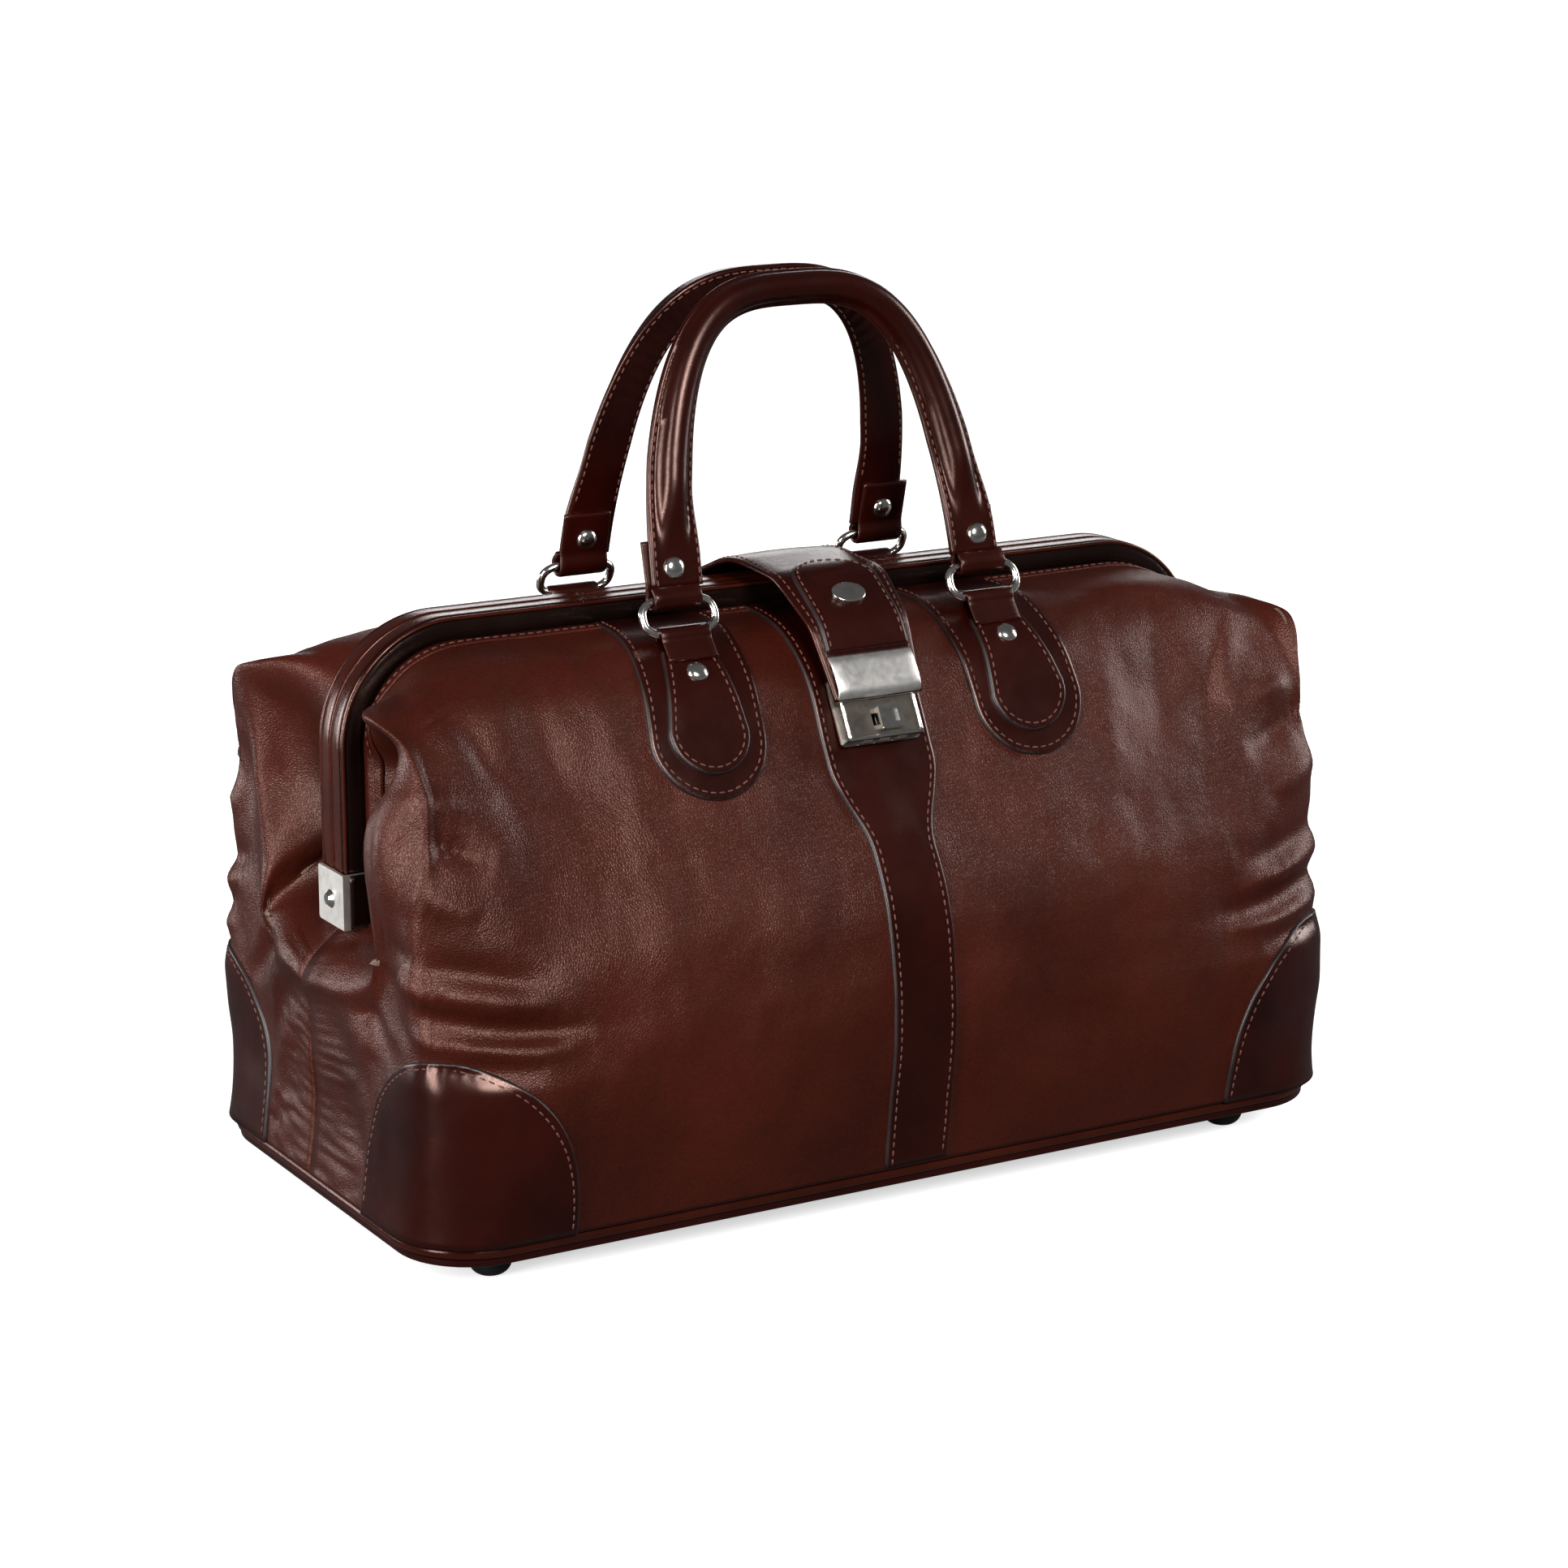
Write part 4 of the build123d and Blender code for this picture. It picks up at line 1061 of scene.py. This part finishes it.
def corner_place(side, outward):
    """Places on a body corner: a round it from the diagonal towards the face, and b up from the base."""
    inner = np.array([BASE_SIDE - BASE_CORNER, BASE_FRONT - BASE_CORNER])
    quarter = BASE_CORNER * math.pi / 4

    def find(a, b, lift=0.0):
        turn = math.pi / 4 + np.clip(a, -quarter, quarter) / BASE_CORNER
        normal = np.array([math.cos(turn), math.sin(turn)])
        spot = inner + BASE_CORNER * normal
        past = a - np.clip(a, -quarter, quarter)
        spot = spot + (np.array([-past, 0]) if past > 0 else np.array([0, past]))
        flat_normal = np.array([outward * normal[0], side * normal[1], 0])
        point = np.array([outward * spot[0], side * spot[1], BODY_BOTTOM + b])
        return drop_onto(side, point, flat_normal) + lift * flat_normal, flat_normal
    return find


def make_corner_patch(side, outward):
    """The arched reinforcement over a lower corner, stitched inside its dark edge."""
    name = f"corner_patch_{SIDE_NAMES[side]}_{END_NAMES[outward]}"
    place = corner_place(side, outward)

    def half_width(b):
        return PATCH_HALF * max(1 - (b / PATCH_RISE) ** 2.6, 0.0004) ** 0.5

    def inset(a, b):
        inside = 1 - (a / PATCH_HALF) ** 2 - (b / PATCH_RISE) ** 2.6
        steep = math.hypot(2 * a / PATCH_HALF**2, 2.6 * b**1.6 / PATCH_RISE**2.6)
        return inside / max(steep, 0.01)

    levels = PATCH_RISE * np.sin(np.linspace(0, math.pi / 2, 40))
    made = patch(name + "_leather", place, levels, half_width, inset, PATCH, smooth_leather, columns=61)
    found = []
    for t in np.linspace(0.03, math.pi - 0.03, 90):
        b = (PATCH_RISE - STITCH_INSET) * math.sin(t)
        a = math.copysign(max(half_width(b + 2.2) - STITCH_INSET, 0), math.cos(t))
        found.append(place(a, b, PATCH + 0.1))
    sewn = stitches(name + "_stitches", [seam(found)])
    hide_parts(name)
    for piece in (made, sewn):
        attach(piece, "bag_body")


for half in HALVES:
    for outward in ENDS:
        make_corner_patch(half, outward)


# ---------------------------------------------------------------- frame halves

BEAD = 1.0
FRAME_FACE = FRAME_HALF - 0.4


def bar_section():
    """Cross-section of a frame half: (inwards from its outer face, depth from the middle plane, material)."""
    # Material 1 is painted shade: the front face and the grooves beside the bead are made near-black for the
    # shade they stand in.
    outer, groove, black = 0, 1, 1
    section = [(FRAME_SECTION, 0.35, black), (0.6, 0.35, outer), (0.1, 0.9, outer)]
    section += [(0.0, depth, outer) for depth in (3.5, 6.5, 9.4)]
    section += [(0.5, 10.1, groove), (0.9, 10.4, groove)]
    for t in np.radians(np.linspace(-60, 110, 8)):
        section.append((1.1 - BEAD * math.cos(t), 11.45 + BEAD * math.sin(t), outer))
    section += [(2.0, FRAME_FACE - 0.7, groove), (2.6, FRAME_FACE - 0.2, black), (6.5, FRAME_FACE, black)]
    section += [(10.2, FRAME_FACE - 0.1, black), (FRAME_SECTION, FRAME_FACE - 0.8, black)]
    return section


def make_frame_bar(side):
    """The leather-covered bar of a frame half: glossy outside, with painted shade in near-black on its face
    and in its grooves, and a bead between.
    """
    half, top = FRAME_SIDE, FRAME_TOP
    run = rounded_run([(-half, FRAME_FOOT), (-half, top), (half, top), (half, FRAME_FOOT)],
                      [FRAME_CORNER, FRAME_CORNER], 2.0)
    along = np.gradient(run, axis=0)
    along /= np.linalg.norm(along, axis=1, keepdims=True)
    section = bar_section()
    sections = []
    for (x, z), (dx, dz) in zip(run, along):
        sections.append([(x + i * dz, side * depth, z - i * dx) for i, depth, _ in section])
    marks = [section[(c + 1) % len(section)][2] for _ in range(len(run) - 1) for c in range(len(section))]
    bar = swept(SIDE_NAMES[side] + "_frame_cover", sections, [frame_leather, painted_shade_leather],
                face_materials=marks + [1, 1])
    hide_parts(SIDE_NAMES[side] + "_frame_wrap")
    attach(bar, SIDE_NAMES[side] + "_frame")


for half in HALVES:
    make_frame_bar(half)


# ---------------------------------------------------------------- rings and handles


def make_ring(side, outward):
    """An oval wire ring through a tab's loop and a handle's end."""
    name = f"{SIDE_NAMES[side]}_ring_{END_NAMES[outward]}"
    centre = np.array([outward * RING_X, *(LOWER_BAR + UPPER_BAR) / 2])
    up = np.array([0.0, math.sin(RING_LEAN), math.cos(RING_LEAN)])
    across = np.array([1.0, 0.0, 0.0])
    sections = []
    for t in np.linspace(0, 2 * math.pi, 72, endpoint=False):
        flat = [math.copysign(abs(v) ** 0.72, v) for v in (math.cos(t), math.sin(t))]
        tangent = np.array([-abs(math.cos(t)) ** 0.001 * math.sin(t), math.cos(t)])
        spot = centre + 18.0 * flat[0] * across + RING_PITCH / 2 * flat[1] * up
        outward_flat = np.array([tangent[1], -tangent[0]])
        out = outward_flat[0] * across + outward_flat[1] * up
        other = np.cross(across, up)
        sections.append([spot + WIRE * (math.cos(k) * out + math.sin(k) * other)
                         for k in np.linspace(0, 2 * math.pi, 14, endpoint=False)])
    points = np.array(sections)
    points[:, :, 1] *= -side
    ring = swept(name + "_wire", points, nickel, closed_path=True)
    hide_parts(name)
    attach(ring, SIDE_NAMES[side] + "_rings")


for half in HALVES:
    for outward in ENDS:
        make_ring(half, outward)


HANDLE_RISE, HANDLE_HALF = 133.0, RING_X - 2.0
LUG_WIDTH, LUG_RISE, RIVET_RISE = 25.0, 26.0, 13.0


def handle_point(x, rise, out):
    """A point by its place in the front handle's own plane, in front coordinates."""
    up = np.array([0.0, math.sin(HANDLE_LEAN), math.cos(HANDLE_LEAN)])
    forward = np.array([0.0, -math.cos(HANDLE_LEAN), math.sin(HANDLE_LEAN)])
    return np.array([x, *UPPER_BAR]) + rise * up + out * forward


def arch_line():
    """The handle's middle line as (x, rise), from the left end over the arch to the right end."""
    t = np.linspace(0.02, math.pi - 0.02, 400)
    x = -HANDLE_HALF * np.sign(np.cos(t)) * np.abs(np.cos(t)) ** 0.62
    return resample(np.stack([x, HANDLE_RISE * np.sin(t)], axis=1), 2.0)


def handle_section(rise, wrinkle):
    """Outline of the handle, (across, out), flat and wide at its ends and rolled over its core above them."""
    rolled = np.clip((rise - 18) / 34, 0, 1)
    rolled = rolled * rolled * (3 - 2 * rolled)
    narrow = np.clip((rise - 60) / 65, 0, 1)
    half = (LUG_WIDTH - 2.4 * rolled - 6.2 * narrow) / 2
    core = 6.9
    flange = 2.0 * (1 - rolled) - 1.2 * rolled
    under = -2.2 - 2.2 * rolled
    top = []
    for c in np.sin(np.linspace(-math.pi / 2, math.pi / 2, 23)):
        a = c * half
        bulge = math.sqrt(max(0.0, 1 - (a / core) ** 2)) ** 0.8
        edge = 1.1 * max(0.0, 1 - (half - abs(a)) / 1.0) ** 2
        top.append((a, flange + 8.6 * rolled * bulge - edge))
    bottom = []
    for c in np.sin(np.linspace(math.pi / 2, -math.pi / 2, 15)):
        a = c * half
        edge = 1.1 * max(0.0, 1 - (half - abs(a)) / 1.0) ** 2
        bottom.append((a, under + edge + wrinkle * rolled * (1 - abs(c))))
    return top + bottom, half, flange


def make_handle(side):
    """A handle: its rolled and stitched strap, the ends folded round the rings, and their rivets."""
    name = SIDE_NAMES[side] + "_handle"
    run = arch_line()
    along = np.gradient(run, axis=0)
    along /= np.linalg.norm(along, axis=1, keepdims=True)
    sections, seams = [], {-1: ([], []), 1: ([], [])}
    inner_seams = {-1: ([], []), 1: ([], [])}
    forward = handle_point(0, 0, 1) - handle_point(0, 0, 0)
    for number, ((x, rise), (dx, dz)) in enumerate(zip(run, along)):
        if rise < 3.6:
            continue
        wrinkle = 0.7 * math.sin(number * 1.9) * np.clip((rise - 70) / 50, 0, 1)
        outline, half, flange = handle_section(rise, wrinkle)
        across = np.array([dz, -dx])
        sections.append([handle_point(x + a * across[0], rise + a * across[1], out) for a, out in outline])
        for sign in (-1, 1):
            a = sign * (half - 1.9)
            seams[sign][0].append(handle_point(x + a * across[0], rise + a * across[1], flange + 0.3))
            seams[sign][1].append(forward)
            if rise > LUG_RISE + 3:
                under = min(out for _, out in outline) - 0.1
                inner_seams[sign][0].append(handle_point(x + a * across[0], rise + a * across[1], under))
                inner_seams[sign][1].append(-forward)
    turned = np.array([1, -side, 1])
    strap = swept(name + "_strap", [np.array(s) * turned for s in sections], smooth_leather)
    runs = [([p * turned for p in path], [n * turned for n in lifts])
            for path, lifts in (seams[-1], seams[1], inner_seams[-1], inner_seams[1])]
    sewn = stitches(name + "_stitches", runs)
    folds, heads = [], []
    radius = WIRE + 2.6
    for outward in ENDS:
        turns = np.radians(np.linspace(10, -190, 14))
        path = [handle_point(outward * RING_X, 5, 1.2)]
        path += [handle_point(outward * RING_X, radius * math.sin(t), radius * math.cos(t) - 0.6)
                 for t in turns]
        path += [handle_point(outward * RING_X, rise, -3.2) for rise in (6, 12, 20, LUG_RISE)]
        path = resample(path, 1.5)
        fold = ribbon(f"{name}_fold_{END_NAMES[outward]}", path * turned, (1, 0, 0),
                      [LUG_WIDTH / 2 - 0.4] * len(path), 2.4, smooth_leather)
        folds.append(fold)
        heads.append((handle_point(outward * (RING_X - 0.3), RIVET_RISE, 2.1) * turned, forward * turned))
        heads.append((handle_point(outward * (RING_X - 0.3), RIVET_RISE, -4.3) * turned, -forward * turned))
    rivets = dome(name + "_rivet_heads", heads)
    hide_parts(name, name + "_core")
    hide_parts(name + "_rivets")
    for piece in [strap, sewn, rivets, *folds]:
        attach(piece, name + "_body")


for half in HALVES:
    make_handle(half)


# ---------------------------------------------------------------- closing strap

strap_points = rounded_run(STRAP_LINE, STRAP_RADII, 1.0)
strap_along = lengths_along(strap_points)
strap_slope = np.gradient(strap_points, axis=0)
strap_slope /= np.linalg.norm(strap_slope, axis=1, keepdims=True)
STRAP_LENGTH = strap_along[-1]
CROWN = 1.1


def strap_place(x, along, lift=0.0):
    """A place on the strap's upper face, along it from its front end."""
    y, z = (np.interp(along, strap_along, strap_points[:, k]) for k in (0, 1))
    slope = np.array([np.interp(along, strap_along, strap_slope[:, k]) for k in (0, 1)])
    normal = np.array([0.0, -slope[1], slope[0]])
    sag = CROWN * (x / (STRAP_WIDTH / 2)) ** 2 * np.clip(along / 40, 0, 1)
    point = np.array([x, y, z]) + (STRAP_THICKNESS / 2 - sag + lift) * normal
    return point, normal


def strap_at(y):
    """Distance along the strap, from its front end, of a place at that y."""
    return float(np.interp(y, strap_points[:, 0], strap_along))


TAPER_END = strap_at(-50)


def strap_half_width(along):
    """Half the strap's width at a distance from its front end."""
    share = np.clip(along / TAPER_END, 0, 1)
    return (STRAP_END + (STRAP_WIDTH - STRAP_END) * share) / 2


def make_strap():
    """The closing strap, which on the bag is fixed to the back frame half, curving where it lifts off the
    frame; its pieces are baked in place and not attached to the frame here.
    """
    sections = []
    for along in np.arange(1.5, STRAP_LENGTH, 1.5):
        half = strap_half_width(along)
        section = []
        for a, out in rounded_strip(half, STRAP_THICKNESS):
            section.append(strap_place(a, along, out - STRAP_THICKNESS / 2)[0])
        sections.append(section)
    strap = swept("strap_leather", sections, smooth_leather)
    runs = []
    for sign in (-1, 1):
        spots = np.arange(4, STRAP_LENGTH, 3)
        runs.append(seam([strap_place(sign * (strap_half_width(s) - STITCH_INSET), s, 0.1) for s in spots]))
    sewn = stitches("strap_stitches", runs)
    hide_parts("strap_flap", "strap_base")
    for piece in (strap, sewn):
        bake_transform(piece)


make_strap()


TONGUE_WIDTH = 43.0
TONGUE_LOW, TONGUE_SHOULDER, TONGUE_TOP = strap_at(-78), strap_at(-52), strap_at(-33)


def make_tongue():
    """The round-topped leather tongue stitched over the strap's front, which carries the plaque."""
    half = TONGUE_WIDTH / 2
    bow = TONGUE_TOP - TONGUE_SHOULDER

    def half_width(s):
        if s <= TONGUE_SHOULDER:
            return half
        return half * math.sqrt(max(1 - ((s - TONGUE_SHOULDER) / bow) ** 2, 0.0005))

    def inset(a, s):
        if s <= TONGUE_SHOULDER:
            return half - abs(a)
        inside = 1 - (a / half) ** 2 - ((s - TONGUE_SHOULDER) / bow) ** 2
        steep = math.hypot(2 * a / half**2, 2 * (s - TONGUE_SHOULDER) / bow**2)
        return inside / max(steep, 0.01)

    levels = list(np.arange(TONGUE_LOW, TONGUE_SHOULDER, 2.0))
    levels += [TONGUE_SHOULDER + bow * math.sin(t) for t in np.linspace(0, math.pi / 2, 22)]
    piece = patch("strap_tongue_leather", strap_place, levels, half_width, inset, PATCH, smooth_leather)
    inner_half, inner_bow = half - 2.6, bow - 2.6
    route = [(-inner_half, s) for s in np.arange(TONGUE_LOW + 2, TONGUE_SHOULDER, 3)]
    route += [(-inner_half * math.cos(t), TONGUE_SHOULDER + inner_bow * math.sin(t))
              for t in np.linspace(0, math.pi, 40)]
    route += [(inner_half, s) for s in np.arange(TONGUE_SHOULDER, TONGUE_LOW + 2, -3)]
    found = [strap_place(a, s, PATCH + 0.1) for a, s in route]
    sewn = stitches("strap_tongue_stitches", [seam(found)])
    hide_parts("strap_tongue")
    for made in (piece, sewn):
        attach(made, "strap")


make_tongue()


# ---------------------------------------------------------------- lock

hasp_low, hasp_high = node_box("hasp")
seat_low, seat_high = node_box("lock_plate")
LOCK_ORIGIN = np.array([0.0, (seat_low[1] + seat_high[1]) / 2, (seat_low[2] + seat_high[2]) / 2])
LOCK_UP = np.array([0.0, 0.4838, 0.8752])
LOCK_OUT = np.array([0.0, -0.8752, 0.4838])
LOCK_WIDTH, LOCK_HEIGHT, LOCK_FACE = 39.0, 30.0, 6.6
HASP_WIDTH = hasp_high[0] - hasp_low[0]


def lock_point(x, up, out):
    """A point on the lock, from the middle of its seat on the body."""
    return np.array([x, 0, 0]) + LOCK_ORIGIN + up * LOCK_UP + (out - 0.5) * LOCK_OUT


def make_hasp():
    """The hasp plate on the strap's end: a bowed nickel plate whose lower lip curls over the lock."""
    curve = [(23.5, 9.3), (21, 10.4), (16, 11.2), (10, 11.6),
             (6.6, 11.3), (4.6, 10.2), (3.6, 8.4), (3.5, 7.2)]
    curve = smooth_through(lengths_along(curve), curve, np.linspace(0, lengths_along(curve)[-1], 30))
    path = [lock_point(0, up, out) for up, out in curve]
    plate = ribbon("hasp_plate", path, (1, 0, 0), [HASP_WIDTH / 2] * len(path), 1.2, lit_hasp_metal)
    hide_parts("hasp")
    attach(plate, "strap")


def make_lock_border():
    """The raised border round the lock's face."""
    corners = rounded_run(
        [(0, -LOCK_HEIGHT / 2 + 0.8), (LOCK_WIDTH / 2 - 0.8, -LOCK_HEIGHT / 2 + 0.8),
         (LOCK_WIDTH / 2 - 0.8, LOCK_HEIGHT / 2 - 0.8), (0.8 - LOCK_WIDTH / 2, LOCK_HEIGHT / 2 - 0.8),
         (0.8 - LOCK_WIDTH / 2, -LOCK_HEIGHT / 2 + 0.8), (0, -LOCK_HEIGHT / 2 + 0.8)],
        [1.2] * 4, 0.6)[:-1]
    along = np.roll(corners, -1, axis=0) - np.roll(corners, 1, axis=0)
    along /= np.linalg.norm(along, axis=1, keepdims=True)
    sections = []
    for (x, up), (dx, dz) in zip(corners, along):
        ring = []
        for t in np.linspace(0, 2 * math.pi, 10, endpoint=False):
            a = 0.85 * math.cos(t)
            ring.append(lock_point(x + a * dz, up - a * dx, LOCK_FACE + 0.7 * math.sin(t)))
        sections.append(ring)
    border = swept("lock_border", sections, nickel, closed_path=True)
    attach(border, "front_frame")


def make_hinge_shade_sheet(outward):
    """Painted shade: a near-black leather sheet laid over the hinge plate's front flange, darkening the metal
    there, with a strip of nickel left at its outer edge.
    """
    x = outward * np.array([FRAME_SIDE - FRAME_SECTION + 0.4, FRAME_SIDE - 1.4])
    heights = np.linspace(hinge_low[2] + 0.4, hinge_high[2] - 0.2, 9)
    low, high = hinge_low[1] - 0.05, hinge_low[1] - 0.95
    top = np.array([[(a, high, z) for a in np.linspace(*x, 5)] for z in heights])
    bottom = np.array([[(a, low, z) for a in np.linspace(*x, 5)] for z in heights])
    name = "hinge_shade_sheet_" + END_NAMES[outward]
    shade_sheet = closed_sheet(name, top, bottom, [painted_shade_leather, edge_paint])
    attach(shade_sheet, "front_frame")


make_hasp()
make_lock_border()
for outward in ENDS:
    make_hinge_shade_sheet(outward)


# ---------------------------------------------------------------- finishes of the CAD nodes that stay

FINISHES = {
    "base_panel": smooth_leather,
    "base_piping": frame_leather,
    "base_board": stiff_board,
    "feet": foot_plastic,
    "foot_screws": nickel,
    "front_frame_steel": frame_steel,
    "back_frame_steel": frame_steel,
    "hinge_plate_left": satin_nickel,
    "hinge_plate_right": satin_nickel,
    "hinge_pins": nickel,
    "hasp_catch": nickel,
    "strap_plaque": nickel,
    "lock_plate": nickel,
    "lock_cover": shaded_lock_metal,
    "lock_button": nickel,
    "number_wheel_left": nickel,
    "number_wheel_middle": nickel,
    "number_wheel_right": nickel,
    "wheel_axle": frame_steel,
    "front_handle_core": rope_core,
    "back_handle_core": rope_core,
}
for node, finish in FINISHES.items():
    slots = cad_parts[node].data.materials
    slots.clear()
    slots.append(finish)

SOFTENED = {"lock_button": 0.45, "lock_cover": 0.25, "lock_plate": 0.3, "hinge_plate_left": 0.4,
            "hinge_plate_right": 0.4, "strap_plaque": 0.2}
for node, width in SOFTENED.items():
    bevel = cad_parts[node].modifiers.new("rounded_edges", "BEVEL")
    bevel.width = width * MM
    bevel.segments = 3
    bevel.limit_method = "ANGLE"
    bevel.harden_normals = True


# ---------------------------------------------------------------- floor, light and camera

FLOOR_GLOW, FLOOR_BOUNCE = 0.6, 0.1


def make_floor():
    """A plain floor, pale and glowing to the camera but dim to the bag, to keep its glare off the leather."""
    made = Shading("floor", Roughness=0.9, Emission_Color=(1, 1, 1, 1), Emission_Strength=FLOOR_GLOW)
    made.colour(made.ramp(made.noise(2, 2), [(0.0, 0.84), (1.0, 0.87)]))
    dim = made.nodes.new("ShaderNodeBsdfDiffuse")
    dim.inputs["Color"].default_value = (FLOOR_BOUNCE,) * 3 + (1,)
    mix = made.nodes.new("ShaderNodeMixShader")
    made.links.new(made.nodes.new("ShaderNodeLightPath").outputs["Is Camera Ray"], mix.inputs["Fac"])
    made.links.new(dim.outputs["BSDF"], mix.inputs[1])
    made.links.new(made.shader.outputs["BSDF"], mix.inputs[2])
    made.links.new(mix.outputs["Shader"], made.nodes["Material Output"].inputs["Surface"])
    reach, count = 60000.0, 24
    spots = np.linspace(-reach, reach, count)
    points = [(x, y, 0.0) for y in spots for x in spots]
    floor = add_piece("floor", points, grid_faces(count, count), made.material)


def make_light(name, place, target, size, power):
    """A large soft studio light, in metres and watts."""
    light = bpy.data.lights.new(name, "AREA")
    light.shape = "RECTANGLE"
    light.size, light.size_y = size
    light.energy = power
    made = bpy.data.objects.new(name, light)
    made.location = place
    made.rotation_mode = "QUATERNION"
    made.rotation_quaternion = (Vector(target) - Vector(place)).to_track_quat("-Z", "Y")
    bpy.context.scene.collection.objects.link(made)


def make_sun(name, place, target, angle, strength):
    """A broad soft light from far away."""
    light = bpy.data.lights.new(name, "SUN")
    light.angle = math.radians(angle)
    light.energy = strength
    made = bpy.data.objects.new(name, light)
    made.rotation_mode = "QUATERNION"
    made.rotation_quaternion = (Vector(target) - Vector(place)).to_track_quat("-Z", "Y")
    bpy.context.scene.collection.objects.link(made)


SKY_LIGHT, BACKDROP = 0.08, 1.0


def make_world():
    """A dim even surround for the light, behind a white backdrop."""
    world = bpy.data.worlds.new("studio")
    world.use_nodes = True
    nodes, links = world.node_tree.nodes, world.node_tree.links
    ambient = nodes["Background"]
    ambient.inputs["Color"].default_value = (1, 1, 1, 1)
    ambient.inputs["Strength"].default_value = SKY_LIGHT
    white = nodes.new("ShaderNodeBackground")
    white.inputs["Color"].default_value = (1, 1, 1, 1)
    white.inputs["Strength"].default_value = BACKDROP
    mix = nodes.new("ShaderNodeMixShader")
    links.new(nodes.new("ShaderNodeLightPath").outputs["Is Camera Ray"], mix.inputs["Fac"])
    links.new(ambient.outputs["Background"], mix.inputs[1])
    links.new(white.outputs["Background"], mix.inputs[2])
    links.new(mix.outputs["Shader"], nodes["World Output"].inputs["Surface"])
    bpy.context.scene.world = world


CAMERA_PLACE = (-0.9191, -1.5833, 0.6472)
CAMERA_TURN, CAMERA_DIP = math.radians(-30.21), math.radians(14.46)
CAMERA_LENS, SENSOR = 92.65, 36.0


def make_camera():
    """The camera, from the bag's front left and a little above."""
    data = bpy.data.cameras.new("camera")
    data.sensor_width = SENSOR
    data.lens = CAMERA_LENS
    camera = bpy.data.objects.new("camera", data)
    dip = math.cos(CAMERA_DIP)
    back = Vector((math.sin(CAMERA_TURN) * dip, -math.cos(CAMERA_TURN) * dip, math.sin(CAMERA_DIP)))
    camera.location = CAMERA_PLACE
    camera.rotation_mode = "QUATERNION"
    camera.rotation_quaternion = (-back).to_track_quat("-Z", "Y")
    bpy.context.scene.collection.objects.link(camera)
    bpy.context.scene.camera = camera


make_floor()
make_world()
make_sun("key", (-0.2, -0.95, 0.6), (0, 0, 0), 18, 3.1)
make_light("left_strip", (-1.8, -0.55, 0.65), (0, 0, 0.2), (0.25, 1.2), 38)
make_light("right_strip", (1.6, -0.3, 0.75), (0, 0, 0.2), (0.4, 0.8), 15)
make_light("left_low", (-1.2, 1.1, 0.3), (-0.2, 0, 0.15), (0.5, 0.5), 9)
make_light("back_strip", (1.1, 1.8, 0.8), (0, 0, 0.25), (1.2, 0.5), 6)
make_camera()
bpy.context.scene.view_settings.view_transform = "Standard"
